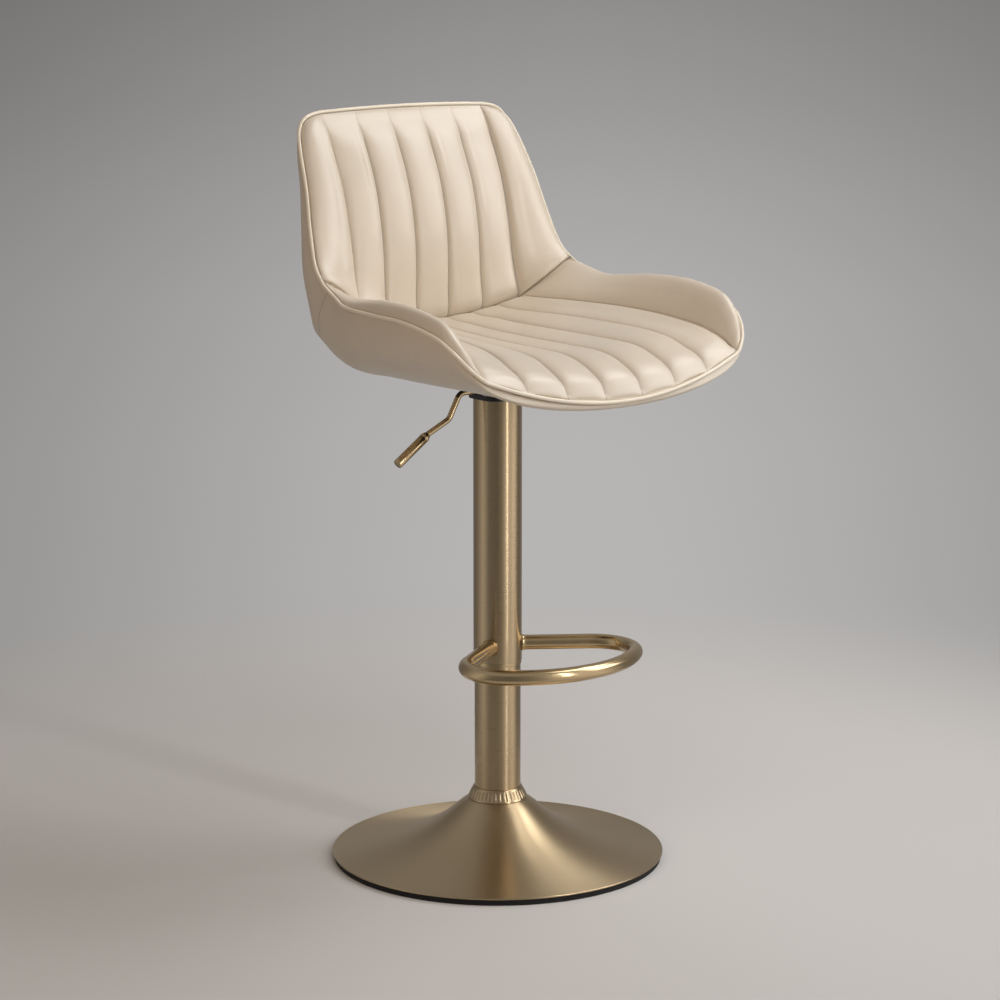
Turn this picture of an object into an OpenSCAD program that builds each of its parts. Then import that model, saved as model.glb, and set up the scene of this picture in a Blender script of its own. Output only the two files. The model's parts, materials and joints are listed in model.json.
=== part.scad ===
// Swivel bar stool: trumpet base, telescopic gas-lift column, footrest hoop,
// height lever and an upholstered bucket seat. Millimetres, +Z up, origin on
// the floor at the column axis, the sitter faces -Y.

/* [Base] */
// Diameter of the dished base
base_d = 400; // [360:5:460]
// Height of the dish's neck above the floor
base_h = 73; // [66:1:90]
// Sheet thickness of the dish
dish_t = 2; // [1:0.5:3]
// Width of the turned-in rim under the dish
dish_lip = 7; // [6:1:12]
// Thickness of the steel weight plate
plate_t = 4; // [3:0.5:8]
// Thickness of the rubber ring under the plate
rubber_t = 3; // [2:0.5:5]
// Width of the rubber ring on the floor
rubber_w = 18; // [12:1:30]
// Thickness of the rubber wall round the plate's edge
rubber_wall = 2.5; // [1.5:0.5:4]
// Inset of the rubber ring behind the dish's rim
rubber_inset = 2.5; // [1:0.5:4]
// Diameter of the rubber foot under the middle of the plate
centre_foot_d = 36; // [24:2:50]
// Height of the knurled neck ring
neck_ring_h = 14.5; // [10:0.5:20]
// Width of the neck ring's foot
neck_ring_w = 8.8; // [6:0.1:12]
// Number of flutes round the neck ring
flute_n = 36; // [24:4:48]
// Width of one flute
flute_w = 1.2; // [0.8:0.1:1.6]
// Depth of one flute
flute_depth = 0.6; // [0.3:0.1:1]

/* [Column] */
// Outer diameter of the fixed lower tube
column_d = 55.4; // [50:0.2:60]
// Wall of the lower tube
column_t = 1.5; // [1:0.1:2.5]
// Height of the lower tube's top above the floor
column_top = 485; // [470:1:490]
// Radius of the welded foot flange
flange_r = 48; // [42:1:60]
// Thickness of the foot flange
flange_t = 6; // [4:1:10]
// Height of the collar on the foot flange
flange_collar_h = 12; // [6:1:20]
// Wall of the collar on the foot flange
flange_collar_t = 4; // [2:0.5:6]
// Radius of the circle that the foot bolts stand on
foot_bolt_pcr = 39; // [38:0.5:41]
// Shank diameter of the foot bolts
foot_bolt_d = 8; // [6:1:8]
// Head height of the foot bolts
foot_head_h = 2.2; // [1.5:0.1:2.5]
// Length of the nylon guide bush in the lower tube
bush_l = 40; // [25:1:60]
// Thickness of the bush's flange
bush_flange_t = 3; // [2:0.5:5]
// Gap between the bush and the seat plate's socket at the lowest seat height
seat_clearance = 52; // [40:1:60]
// Outer diameter of the telescopic sleeve
sleeve_d = 58; // [57.8:0.1:62]
// Clearance between the lower tube and the sleeve on the radius
sleeve_gap = 0.3; // [0.2:0.05:0.6]
// Height of the sleeve's lower end above the floor
sleeve_bottom = 244; // [225:1:250]
// Height of the bright guide ring under the sleeve
guide_ring_h = 4; // [3:0.5:6]
// Height of the collar that centres the sleeve's top
sleeve_collar_h = 14; // [8:1:18]

/* [Gas spring] */
// Outer diameter of the gas cylinder
cylinder_d = 28; // [26:1:30]
// Wall of the gas cylinder
cylinder_t = 2; // [1.5:0.5:3]
// Length of the gas cylinder
cylinder_l = 351; // [340:1:356]
// Thickness of the cylinder's closed top
cylinder_top_t = 10; // [6:1:12]
// Diameter of the piston rod
rod_d = 10; // [8:1:12]
// Height of the piston above the floor
piston_z = 440; // [430:1:450]
// Height of the piston
piston_h = 12; // [8:1:18]
// Height of the rod guide and seal
rod_guide_h = 12; // [8:1:16]
// Thickness of the disc that carries the thrust bearing
bearing_seat_t = 6; // [4:1:10]
// Height of the bearing disc's underside above the floor
bearing_seat_z = 44; // [40:1:60]
// Ball diameter of the thrust bearing
ball_d = 4; // [3:0.5:5]
// Number of balls
ball_n = 12; // [8:1:13]
// Radius of the circle of balls
ball_pcr = 10.5; // [10.5:0.5:12]
// Thickness of one bearing race
race_t = 3; // [2.5:0.5:4]
// Diameter of the valve button
button_d = 6; // [5:0.5:8]
// Radial clearance of running fits
run_gap = 0.05; // [0.02:0.01:0.1]

/* [Seat plate and lever] */
// Width and depth of the mounting plate
mount_plate_w = 150; // [140:5:180]
// Thickness of the mounting plate
mount_plate_t = 2.5; // [2:0.5:4]
// Height of the housing under the mounting plate
housing_h = 19.5; // [18:0.5:22]
// Width and depth of the housing
housing_w = 60; // [58:1:70]
// Wall of the housing
housing_t = 2.5; // [2:0.5:3]
// Length of the taper socket below the housing
socket_l = 22; // [18:1:30]
// Wall of the taper socket
socket_t = 4; // [3:0.5:6]
// Spacing of the seat bolts in X and in Y
seat_bolt_pitch = 118; // [110:1:124]
// Shank diameter of the seat bolts
seat_bolt_d = 8; // [6:1:8]
// Length of the seat bolts under the head
seat_bolt_l = 12; // [10:1:13]
// Diameter of the lever's rod
lever_d = 7; // [5:0.5:7.5]
// Distance from the column axis to the lever's pivot
lever_pivot_x = 22; // [20:1:24]
// Distance from the column axis to the lever's first bend
lever_reach = 56; // [48:1:60]
// Fall of the lever's steep part
lever_drop = 29.4; // [20:0.2:40]
// Radius of the lever's bends
lever_bend_r = 12; // [8:1:16]
// Diameter of the lever's grip
grip_d = 11.5; // [8:0.5:14]
// Length of the lever's grip
grip_l = 55; // [40:1:80]
// Diameter of the pivot pin
pin_d = 5; // [4:0.5:5]

/* [Footrest] */
// Tube diameter of the footrest
hoop_d = 18; // [12:0.5:20]
// Height of the footrest's centreline above the floor
hoop_z = 264; // [256:1:320]
// Distance from the column axis to the front of the hoop's centreline
hoop_reach = 177; // [160:1:210]
// Angle between each arm and the front direction
hoop_angle = 56; // [45:1:65]
// Centreline radius of the side bends
hoop_bend_r = 50; // [40:1:70]
// Centreline radius of the front bow
hoop_bow_r = 145; // [120:1:150]

/* [Seat] */
// Width of the seat across the two wings, piping to piping
seat_w = 436; // [400:2:480]
// Reach of the front piping ahead of the column axis
seat_front = 234; // [210:2:260]
// Reach of the back's top edge behind the column axis
seat_back = 188; // [175:1:215]
// Height of the seat surface above the mounting plate
seat_t = 50; // [46:1:65]
// Height of the back's piping above the seat surface
back_h = 260; // [220:5:320]
// Diameter of the piping cord
piping_d = 4; // [3:0.5:5]
// Thickness of the upholstered edge behind the piping
edge_t = 5.2; // [4.5:0.1:8]
// Thickness of the outer cover
cover_t = 2; // [1.5:0.5:3]
// Thickness of the moulded shell
shell_t = 10; // [8:1:12]
// Outer diameter of the threaded inserts in the shell
insert_d = 11; // [10:0.5:14]
// Depth of the threaded inserts' holes in the shell
insert_l = 9; // [7:0.5:9]

/* [Hidden] */
$fn = 48;

BRASS = "#b39a6b";
CREAM = "#d8c9b0";
STEEL = "#9a9a98";
BLACK = "#1c1b1a";

// Derived heights of the base
plate_top = rubber_t + plate_t;
base_r = base_d / 2;
rubber_r = base_r - rubber_inset;
plate_r = rubber_r - rubber_wall;
column_r = column_d / 2;
column_ir = column_r - column_t;
neck_gap = 0.05;
column_foot = plate_top + flange_t;

// Derived heights of the lift, from the seat plate down
sleeve_r = sleeve_d / 2;
sleeve_ir = column_r + sleeve_gap;
housing_bottom = column_top + bush_flange_t + seat_clearance + socket_l;
plate_bottom_z = housing_bottom + housing_h;
plate_z = plate_bottom_z + mount_plate_t;
cylinder_r = cylinder_d / 2;
cylinder_proud = 1.5;
cylinder_top = housing_bottom + housing_t + cylinder_proud;
cylinder_bottom = cylinder_top - cylinder_l;
cylinder_lip_h = 2;
taper_drop = 0.25;
button_proud = 3.9;
button_l = 22;
button_r = button_d / 2;
nose_r = 2.2;
nose_gap = 0.3;
lever_z = cylinder_top + button_proud + nose_gap + nose_r;

// Derived heights of the bearing
rod_clearance = 1.2;
race_wall = 1.5;
race_ir = rod_d / 2 + race_wall;
race_r = ball_pcr + ball_d / 2 + race_wall;
ball_sink = 0.15 * ball_d;
race_lower_z = bearing_seat_z + bearing_seat_t;
ball_z = race_lower_z + race_t + ball_d / 2 - ball_sink;
race_upper_z = ball_z + ball_d / 2 - ball_sink;
washer_w = 6;
washer_t = 1.9;
washer_gap = 0.1;
clip_w = 3.5;
clip_t = 1.5;
clip_groove = 1;
clip_z = bearing_seat_z - washer_gap - washer_t - clip_t;

// A ring with a rectangular section
module ring(r_out, r_in, z, h) {
    translate([0, 0, z])
        rotate_extrude()
            translate([r_in, 0])
                square([r_out - r_in, h]);
}

module rounded_plate(w, d, h, r) {
    linear_extrude(h) {
        square([w - 2 * r, d], center = true);
        square([w, d - 2 * r], center = true);
        for (x = [-1, 1], y = [-1, 1])
            translate([x * (w / 2 - r), y * (d / 2 - r)])
                circle(r);
    }
}

// Faces between rings of equally many points: a tube, closed at its ends or in a loop
tube_sides = 16;
rod_sides = 12;
function strip(n, from, to) = [
    for (k = [0:n - 1])
        let(j = (k + 1) % n)
        each [[from + k, to + k, to + j], [from + k, to + j, from + j]]
];

// Rings that fill a tube's end towards its centre, so that the end follows a round wall
cap_shares = [0.02, 0.35, 0.7];
function middle_of(ring) = [for (c = [0:2]) sum([for (q = ring) q[c]]) / len(ring)];
function sum(a, i = 0) = i == len(a) ? 0 : a[i] + sum(a, i + 1);
function cap_rings(ring) =
    let(m = middle_of(ring)) [for (share = cap_shares) [for (q = ring) m + share * (q - m)]];

module swept_tube(rings, loop = false) {
    n = len(rings[0]);
    m = len(rings);
    sides = [for (i = [0:m - (loop ? 1 : 2)]) each strip(n, i * n, ((i + 1) % m) * n)];
    ends = loop ? [] : [[for (k = [0:n - 1]) k], [for (k = [n - 1:-1:0]) (m - 1) * n + k]];
    polyhedron([for (r = rings) each r], concat(sides, ends));
}

// ---------------------------------------------------------------- base

module floor_ring() {
    color(BLACK)
        rotate_extrude($fn = 96)
            polygon([
                [rubber_r - rubber_w, 0], [rubber_r, 0], [rubber_r, plate_top],
                [plate_r, plate_top], [plate_r, rubber_t], [rubber_r - rubber_w, rubber_t]
            ]);
}

// Rubber foot that takes the column's load at the middle of the plate
module centre_foot() {
    color(BLACK)
        cylinder(h = rubber_t, d = centre_foot_d);
}

module base_plate() {
    color(STEEL)
        difference() {
            translate([0, 0, rubber_t])
                cylinder(h = plate_t, r = plate_r, $fn = 96);
            foot_bolt_holes(rubber_t - 1, plate_t + 2);
        }
}

bolt_clearance = 0.2;
module foot_bolt_holes(z, h) {
    for (i = [0:3])
        rotate(45 + 90 * i)
            translate([foot_bolt_pcr, 0, z])
                cylinder(h = h, d = foot_bolt_d + bolt_clearance);
}

// The trumpet is one Bezier curve from the neck to the rim; its two handles are
// shares of the dish's radius and height
neck_handle = [0.3, 0.83];
rim_handle = [0.355, 0.3];
neck_shoulder = 0.9;
rim_round = 2;
dish_curve = [
    [column_r + neck_gap + neck_ring_w - neck_shoulder, base_h],
    [neck_handle[0] * base_r, neck_handle[1] * base_h],
    [rim_handle[0] * base_r, rim_handle[1] * base_h],
    [base_r - rim_round, plate_top + dish_t]
];
dish_steps = 24;
rim_drop = 0.4 * dish_t;
function bezier(p, t) =
    pow(1 - t, 3) * p[0] + 3 * pow(1 - t, 2) * t * p[1]
    + 3 * (1 - t) * t * t * p[2] + t * t * t * p[3];
function bezier_slope(p, t) =
    3 * pow(1 - t, 2) * (p[1] - p[0]) + 6 * (1 - t) * t * (p[2] - p[1])
    + 3 * t * t * (p[3] - p[2]);
function below(p, t, d) =
    let(s = bezier_slope(p, t), n = [s[1], -s[0]] / norm(s))
    bezier(p, t) + d * n;

module base_dish() {
    outside = [for (i = [0:dish_steps]) bezier(dish_curve, i / dish_steps)];
    inside = [
        for (i = [dish_steps:-1:0])
            let(q = below(dish_curve, i / dish_steps, dish_t))
            if (q[0] < base_r - dish_lip) q
    ];
    color(BRASS)
        rotate_extrude($fn = 96)
            polygon(concat(
                outside,
                [[base_r, plate_top + dish_t - rim_drop], [base_r, plate_top]],
                [[base_r - dish_lip, plate_top]],
                inside,
                [[column_r + neck_gap, base_h - dish_t], [column_r + neck_gap, base_h]]
            ));
}

// The neck ring is a cone that carries the trumpet's curve on up to the column; its
// flutes are cut along the slope and stop short of both ends
neck_chamfer = 0.8;
neck_top_t = 1.5;
flute_margin = 2.5;
module neck_ring() {
    foot_r = column_r + neck_gap + neck_ring_w;
    taper = neck_ring_w - neck_top_t;
    slope_l = norm([taper, neck_ring_h]);
    color(BRASS)
        difference() {
            translate([0, 0, base_h])
                rotate_extrude()
                    polygon([
                        [column_r + neck_gap, 0], [foot_r - neck_chamfer, 0],
                        [foot_r - taper * neck_chamfer / neck_ring_h, neck_chamfer],
                        [foot_r - taper, neck_ring_h],
                        [column_r + neck_gap, neck_ring_h]
                    ]);
            for (i = [0:flute_n - 1])
                rotate(360 / flute_n * i)
                    translate([foot_r, 0, base_h])
                        rotate([0, -atan2(taper, neck_ring_h), 0])
                            translate([-flute_depth, -flute_w / 2, flute_margin])
                                cube([2 * flute_depth, flute_w, slope_l - 2 * flute_margin]);
        }
}

// -------------------------------------------------------------- column

module column_flange() {
    color(STEEL)
        difference() {
            translate([0, 0, plate_top])
                rotate_extrude()
                    polygon([
                        [0, 0], [flange_r, 0], [flange_r, flange_t],
                        [column_r + flange_collar_t, flange_t],
                        [column_r + flange_collar_t, flange_t + flange_collar_h],
                        [column_r, flange_t + flange_collar_h], [column_r, flange_t],
                        [0, flange_t]
                    ]);
            foot_bolt_holes(plate_top - 1, flange_t + 2);
        }
}

// A bolt's head is this many times as wide as its shank
head_share = 1.7;
module foot_bolts() {
    color(STEEL)
        for (i = [0:3])
            rotate(45 + 90 * i)
                translate([foot_bolt_pcr, 0, 0]) {
                    translate([0, 0, rubber_t - foot_head_h])
                        cylinder(h = foot_head_h, d = head_share * foot_bolt_d);
                    translate([0, 0, rubber_t])
                        cylinder(h = plate_t + flange_t - 1, d = foot_bolt_d);
                }
}

module lower_column() {
    color(BRASS)
        ring(column_r, column_ir, column_foot, column_top - column_foot);
}

module column_bush() {
    bore_r = cylinder_r + run_gap;
    color(BLACK)
        translate([0, 0, column_top])
            rotate_extrude()
                polygon([
                    [bore_r, -bush_l], [column_ir, -bush_l], [column_ir, 0],
                    [column_r, 0], [column_r, bush_flange_t], [bore_r, bush_flange_t]
                ]);
}

module bearing_seat() {
    color(STEEL)
        ring(column_ir, rod_d / 2 + rod_clearance, bearing_seat_z, bearing_seat_t);
}

// A race with a round groove that the balls run in
module race(z, bore_r) {
    groove_r = ball_d / 2 + run_gap;
    color(STEEL)
        rotate_extrude()
            difference() {
                translate([bore_r, z])
                    square([race_r - bore_r, race_t]);
                translate([ball_pcr, ball_z])
                    circle(groove_r);
            }
}

module race_lower() {
    race(race_lower_z, race_ir);
}

module race_upper() {
    race(race_upper_z, rod_d / 2 + run_gap);
}

module bearing_balls() {
    color(STEEL)
        for (i = [0:ball_n - 1])
            rotate(360 / ball_n * i)
                translate([ball_pcr, 0, ball_z])
                    sphere(d = ball_d);
}

module rod_washer() {
    color(STEEL)
        ring(rod_d / 2 + washer_w, rod_d / 2 + run_gap, clip_z + clip_t, washer_t);
}

// The clip is open on one side, so that it pushes on
module rod_clip() {
    mouth_w = 0.7 * rod_d;
    color(STEEL)
        difference() {
            ring(rod_d / 2 + clip_w, rod_d / 2 - clip_groove + run_gap, clip_z, clip_t);
            translate([0, -mouth_w / 2, clip_z - 1])
                cube([2 * rod_d, mouth_w, clip_t + 2]);
        }
}

// The rod stands on the upper race with its shoulder, and the clip holds its foot
module piston_rod() {
    rod_r = rod_d / 2;
    groove_r = rod_r - clip_groove;
    shoulder_z = race_upper_z + race_t;
    shoulder_w = 3;
    shoulder_h = 3;
    end_z = clip_z - 5;
    color(STEEL)
        rotate_extrude()
            polygon([
                [0, end_z], [rod_r - 1, end_z], [rod_r, end_z + 1],
                [rod_r, clip_z - run_gap], [groove_r, clip_z - run_gap],
                [groove_r, clip_z + clip_t], [rod_r, clip_z + clip_t],
                [rod_r, shoulder_z], [rod_r + shoulder_w, shoulder_z],
                [rod_r + shoulder_w, shoulder_z + shoulder_h], [rod_r, shoulder_z + shoulder_h],
                [rod_r, piston_z + piston_h], [0, piston_z + piston_h]
            ]);
}

module piston() {
    color(BLACK)
        ring(cylinder_r - cylinder_t - run_gap, rod_d / 2, piston_z, piston_h);
}

module gas_cylinder() {
    inner_r = cylinder_r - cylinder_t;
    lip_r = rod_d / 2 + 3;
    color(BLACK)
        rotate_extrude()
            polygon([
                [lip_r, cylinder_bottom], [cylinder_r, cylinder_bottom],
                [cylinder_r, cylinder_top - socket_l - 1],
                [cylinder_r - taper_drop, cylinder_top],
                [button_r + run_gap, cylinder_top],
                [button_r + run_gap, cylinder_top - cylinder_top_t],
                [inner_r, cylinder_top - cylinder_top_t],
                [inner_r, cylinder_bottom + cylinder_lip_h], [lip_r, cylinder_bottom + cylinder_lip_h]
            ]);
}

module rod_guide() {
    color(BLACK)
        ring(cylinder_r - cylinder_t, rod_d / 2 + run_gap, cylinder_bottom + cylinder_lip_h, rod_guide_h);
}

module valve_button() {
    foot_z = cylinder_top + button_proud - button_l;
    foot_h = 3;
    color(BLACK)
        translate([0, 0, foot_z]) {
            cylinder(h = button_l, r = button_r);
            cylinder(h = foot_h, r = button_r + 2);
        }
}

module sleeve() {
    color(BRASS)
        ring(sleeve_r, sleeve_ir, sleeve_bottom, housing_bottom - sleeve_bottom);
}

module sleeve_collar() {
    color(STEEL)
        ring(sleeve_ir, cylinder_r + socket_t, housing_bottom - sleeve_collar_h, sleeve_collar_h);
}

guide_ring_inset = 0.4;
module sleeve_guide_ring() {
    color("#e0cc9a")
        ring(sleeve_r - guide_ring_inset, column_r + run_gap, sleeve_bottom - guide_ring_h, guide_ring_h);
}

// ------------------------------------------------------------ footrest

// Length of each straight arm, so that its bend meets the front bow smoothly
hoop_c = cos(hoop_angle);
hoop_s = sin(hoop_angle);
bow_y = hoop_bow_r - hoop_reach;
hoop_arm_l =
    let(b = 2 * hoop_c * bow_y,
        c = pow(hoop_bend_r, 2) + pow(bow_y, 2) + 2 * hoop_bend_r * hoop_s * bow_y
            - pow(hoop_bow_r - hoop_bend_r, 2))
    (-b + sqrt(b * b - 4 * c)) / 2;
bend_centre = [
    hoop_arm_l * hoop_s - hoop_bend_r * hoop_c,
    -hoop_arm_l * hoop_c - hoop_bend_r * hoop_s
];
// Direction, from the bow's centre, of the point where bend and bow meet
meet_angle = atan2(bend_centre[1] - bow_y, bend_centre[0]);

// Right half of the hoop's centreline, from the sleeve to the middle of the bow
bend_steps = 16;
bow_steps = 7;
hoop_half = concat(
    [[[hoop_s, -hoop_c] * sleeve_r, hoop_angle]],
    [
        for (i = [0:bend_steps])
            let(a = hoop_angle + (meet_angle - hoop_angle) * i / bend_steps)
            [bend_centre + hoop_bend_r * [cos(a), sin(a)], a]
    ],
    [
        for (i = [1:bow_steps])
            let(a = meet_angle + (-90 - meet_angle) * i / bow_steps)
            [[0, bow_y] + hoop_bow_r * [cos(a), sin(a)], a]
    ]
);

// Ring of points round one place of the centreline; a is the outward direction there
function hoop_ring(p, a) = [
    for (k = [0:tube_sides - 1])
        let(w = 360 / tube_sides * k, out = hoop_d / 2 * cos(w))
        [p[0] + out * cos(a), p[1] + out * sin(a), hoop_z + hoop_d / 2 * sin(w)]
];
// The first ring is cut to the round of the sleeve, where it is welded on
weld_gap = 0.04;
function on_sleeve(q) =
    let(
        sideways = q[0] * hoop_c + q[1] * hoop_s,
        along = sqrt(pow(sleeve_r + weld_gap, 2) - sideways * sideways)
    )
    [along * hoop_s + sideways * hoop_c, -along * hoop_c + sideways * hoop_s, q[2]];
function mirrored(ring) = [for (q = ring) [-q[0], q[1], q[2]]];

module footrest_hoop() {
    rings = [for (h = hoop_half) hoop_ring(h[0], h[1])];
    weld = [for (r = concat(cap_rings(rings[0]), [rings[0]])) [for (q = r) on_sleeve(q)]];
    half = concat(weld, [for (i = [1:len(rings) - 1]) rings[i]]);
    last = len(half) - 1;
    color(BRASS)
        swept_tube(concat(half, [for (i = [last - 1:-1:0]) mirrored(half[i])]));
}

// ---------------------------------------------------- seat plate, lever

module seat_bolt_places() {
    for (x = [-1, 1], y = [-1, 1])
        translate([x * seat_bolt_pitch / 2, y * seat_bolt_pitch / 2, 0])
            children();
}

plate_corner_r = 16;
housing_corner_r = 20;
module seat_plate() {
    inner_w = housing_w - 2 * housing_t;
    slot_w = lever_d + 3;
    slot_z = lever_z - lever_d / 2 - 1.5;
    color(BLACK)
        difference() {
            union() {
                translate([0, 0, plate_bottom_z])
                    rounded_plate(mount_plate_w, mount_plate_w, mount_plate_t, plate_corner_r);
                difference() {
                    translate([0, 0, housing_bottom])
                        rounded_plate(housing_w, housing_w, housing_h, housing_corner_r);
                    translate([0, 0, housing_bottom + housing_t])
                        rounded_plate(inner_w, inner_w, housing_h - housing_t,
                            housing_corner_r - housing_t);
                }
                translate([0, 0, housing_bottom - socket_l])
                    cylinder(h = socket_l, r = cylinder_r + socket_t);
            }
            socket_bore();
            translate([0, 0, plate_bottom_z - 1])
                seat_bolt_places()
                    cylinder(h = mount_plate_t + 2, d = seat_bolt_d + bolt_clearance);
            translate([-housing_w, -slot_w / 2, slot_z])
                cube([housing_w, slot_w, plate_bottom_z - slot_z]);
        }
}

// The tapered bore has the same slope as the cylinder's head
module socket_bore() {
    slope = taper_drop / (socket_l + 1);
    low = housing_bottom - socket_l;
    high = housing_bottom + housing_t;
    start = cylinder_top - socket_l - 1;
    bore_r = cylinder_r + 0.02;
    top = high + 0.01;
    rotate_extrude()
        polygon([
            [0, low - 1], [bore_r, low - 1], [bore_r, start],
            [bore_r - slope * (top - start), top], [0, top]
        ]);
}

// The lever's pin goes through two plates that hang from the mounting plate
bracket_w = 2 * (housing_w / 2 - housing_t - lever_pivot_x) - 1;
bracket_gap = 20;
bracket_t = 3;
pin_fit = 0.04;

module lever_bracket() {
    color(STEEL)
        for (side = [-1, 1])
            difference() {
                translate([
                    -lever_pivot_x - bracket_w / 2,
                    side * (bracket_gap + bracket_t) / 2 - bracket_t / 2,
                    lever_z - pin_d
                ])
                    cube([bracket_w, bracket_t, plate_bottom_z - lever_z + pin_d]);
                across_pivot(4 * bracket_gap, pin_d / 2 + pin_fit / 2);
            }
}

// A cylinder along the lever's pivot
module across_pivot(l, r) {
    translate([-lever_pivot_x, 0, lever_z])
        rotate([90, 0, 0])
            cylinder(h = l, r = r, center = true);
}

module lever_pin() {
    color(STEEL)
        across_pivot(bracket_gap + 2 * bracket_t + 2, pin_d / 2);
}

// Corners of the lever's centreline, as [distance outward, height]
lever_steep = 16;
lever_shank = [30, 14];
grip_slope = -35;
grip_way = [cos(grip_slope), sin(grip_slope)];
grip_socket = 12;
hub_r = pin_d / 2 + 2;
lever_knee = [lever_reach + lever_steep, lever_z - lever_drop];
lever_corners = [
    [lever_pivot_x + hub_r, lever_z], [lever_reach, lever_z], lever_knee,
    lever_knee + [lever_shank[0], -lever_shank[1]],
    lever_knee + [lever_shank[0], -lever_shank[1]] + grip_socket * grip_way
];

function unit(v) = v / norm(v);
function turn(a, b) = a[0] * b[1] - a[1] * b[0];

// Points and directions along one bent corner of a rod in a plane
function bent_corner(before, corner, after, r, steps) =
    let(
        a = unit(corner - before), b = unit(after - corner),
        side = sign(turn(a, b)), bend = acos(a * b),
        centre = corner - a * r * tan(bend / 2) + side * r * [-a[1], a[0]],
        start = atan2(a[1], a[0])
    )
    [
        for (i = [0:steps])
            let(way = start + side * bend * i / steps)
            [centre + side * r * [sin(way), -cos(way)], way]
    ];

lever_line = concat(
    [[lever_corners[0], 0]],
    [
        for (i = [1:3])
            each bent_corner(lever_corners[i - 1], lever_corners[i], lever_corners[i + 1],
                lever_bend_r, 5)
    ],
    [[lever_corners[4], grip_slope]]
);

// Ring of the lever's rod in the plane y = 0; the rod runs towards -X
function lever_ring(p, way) = [
    for (k = [0:rod_sides - 1])
        let(w = 360 / rod_sides * k, out = lever_d / 2 * cos(w))
        [-(p[0] - out * sin(way)), lever_d / 2 * sin(w), p[1] + out * cos(way)]
];
// The first ring is cut to the round of the hub, where it is welded on
function on_hub(q) = [
    -lever_pivot_x - sqrt(pow(hub_r + weld_gap, 2) - pow(q[2] - lever_z, 2)), q[1], q[2]
];

module lever_rod() {
    rings = [for (p = lever_line) lever_ring(p[0], p[1])];
    color(BRASS)
        swept_tube(concat(
            [for (r = concat(cap_rings(rings[0]), [rings[0]])) [for (q = r) on_hub(q)]],
            [for (i = [1:len(rings) - 1]) rings[i]]
        ));
}

// Pivot hub of the lever, with the tongue that presses the valve button
hub_side_gap = 0.3;
module lever_hub() {
    tongue_h = 1.6 * nose_r;
    color(STEEL)
        difference() {
            union() {
                across_pivot(bracket_gap - 2 * hub_side_gap, hub_r);
                translate([-lever_pivot_x, -nose_r, lever_z - tongue_h / 2])
                    cube([lever_pivot_x, 2 * nose_r, tongue_h]);
                translate([0, 0, lever_z])
                    rotate([90, 0, 0])
                        cylinder(h = lever_d, r = nose_r, center = true);
            }
            across_pivot(2 * bracket_gap, pin_d / 2 + run_gap);
        }
}

grip_shoulder = 4;
grip_wall = 0.6;
grip_chamfer = 1;
module lever_grip() {
    socket_r = lever_d / 2 + run_gap;
    grip_r = grip_d / 2;
    mouth = 2;
    color(BRASS)
        translate([-lever_corners[3][0], 0, lever_corners[3][1]])
            rotate([0, -90 + grip_slope, 0])
                rotate_extrude()
                    polygon([
                        [socket_r, mouth], [socket_r + grip_wall, mouth],
                        [grip_r, mouth + grip_shoulder], [grip_r, grip_l - grip_chamfer],
                        [grip_r - grip_chamfer, grip_l], [0, grip_l],
                        [0, grip_socket], [socket_r, grip_socket]
                    ]);
}

// ---------------------------------------------------------------- seat

// The seat is a loft through 16 stations that run from the back's top edge, down
// to the crease (station 6) and forward to the front edge. Every point is drawn
// with its height above the mounting plate, at the draft sizes below, and is then
// fitted to the sizes set at the top.
draft_w = 436;
draft_front = 234;
draft_back = 188;
draft_seat_t = 50;
draft_back_h = 260;
crease = 6;
// Middle of the padded surface, [y, z]; the first and last are the piping's centre
middle_line = [
    [188, 310], [181, 297], [161, 271], [139, 223], [127, 168], [122, 116], [123, 61],
    [90, 56], [40, 52], [-40, 50], [-110, 50], [-165, 50], [-200, 46], [-221, 34],
    [-231, 16], [-234, 4]
];
// Seam between the channelled middle and the side panel, [x, y, z]
seam_line = [
    [118, 190, 307], [119, 180, 295], [120, 160, 268], [120, 140, 220], [120, 128, 166],
    [120, 118, 118], [121, 106, 74], [127, 78, 74], [138, 32, 74], [157, -40, 74],
    [169, -105, 71], [178, -160, 65], [183, -189, 58], [184, -202, 52], [184, -211, 46],
    [184, -217, 40]
];
// Centre of the piping on the right side, [x, y, z]
rim_line = [
    [151, 184, 294], [158, 177, 282], [164, 164, 258], [170, 145, 220], [177, 128, 174],
    [183, 110, 136], [188, 86, 116], [196, 52, 106], [205, 18, 99], [214, -50, 98],
    [218, -110, 97], [216, -165, 87], [211, -189, 74], [203, -203, 60], [197, -209, 52],
    [190, -214, 45]
];
// Middle of the outer surface, [y, z]
under_line = [
    [188, 310], [202, 286], [205, 262], [196, 219], [188, 175], [182, 120], [161, 35],
    [106, 3], [50, 0], [-40, 0], [-110, 0], [-165, -1], [-203, -3], [-222, -5],
    [-231, -3], [-234, 4]
];
// Per station: direction the padding faces (0 forward, 90 up), direction of the
// edge (90 up, 0 sideways, -90 forward) and how far the side panel bulges
facing = [0, 0, 0, 0, 5, 20, 45, 70, 85, 90, 90, 90, 90, 90, 90, 90];
edge_turn = [45, 25, 8, 0, 0, 0, 0, 0, 0, 0, 0, -8, -15, -25, -35, -45];
bulge = [0, 8, 14, 16, 16, 15, 13, 18, 26, 40, 43, 42, 25, 12, 4, 0];
last_station = len(rim_line) - 1;
seam_share = 0.72;
corner_arch = 9;
// Squareness of the outer surface's section at each station
squareness = [4, 5.5, 6.5, 7, 7.5, 7.5, 6.2, 4.6, 3.6, 3.2, 2.9, 2.6, 2.4, 2.2, 2, 2];

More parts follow.
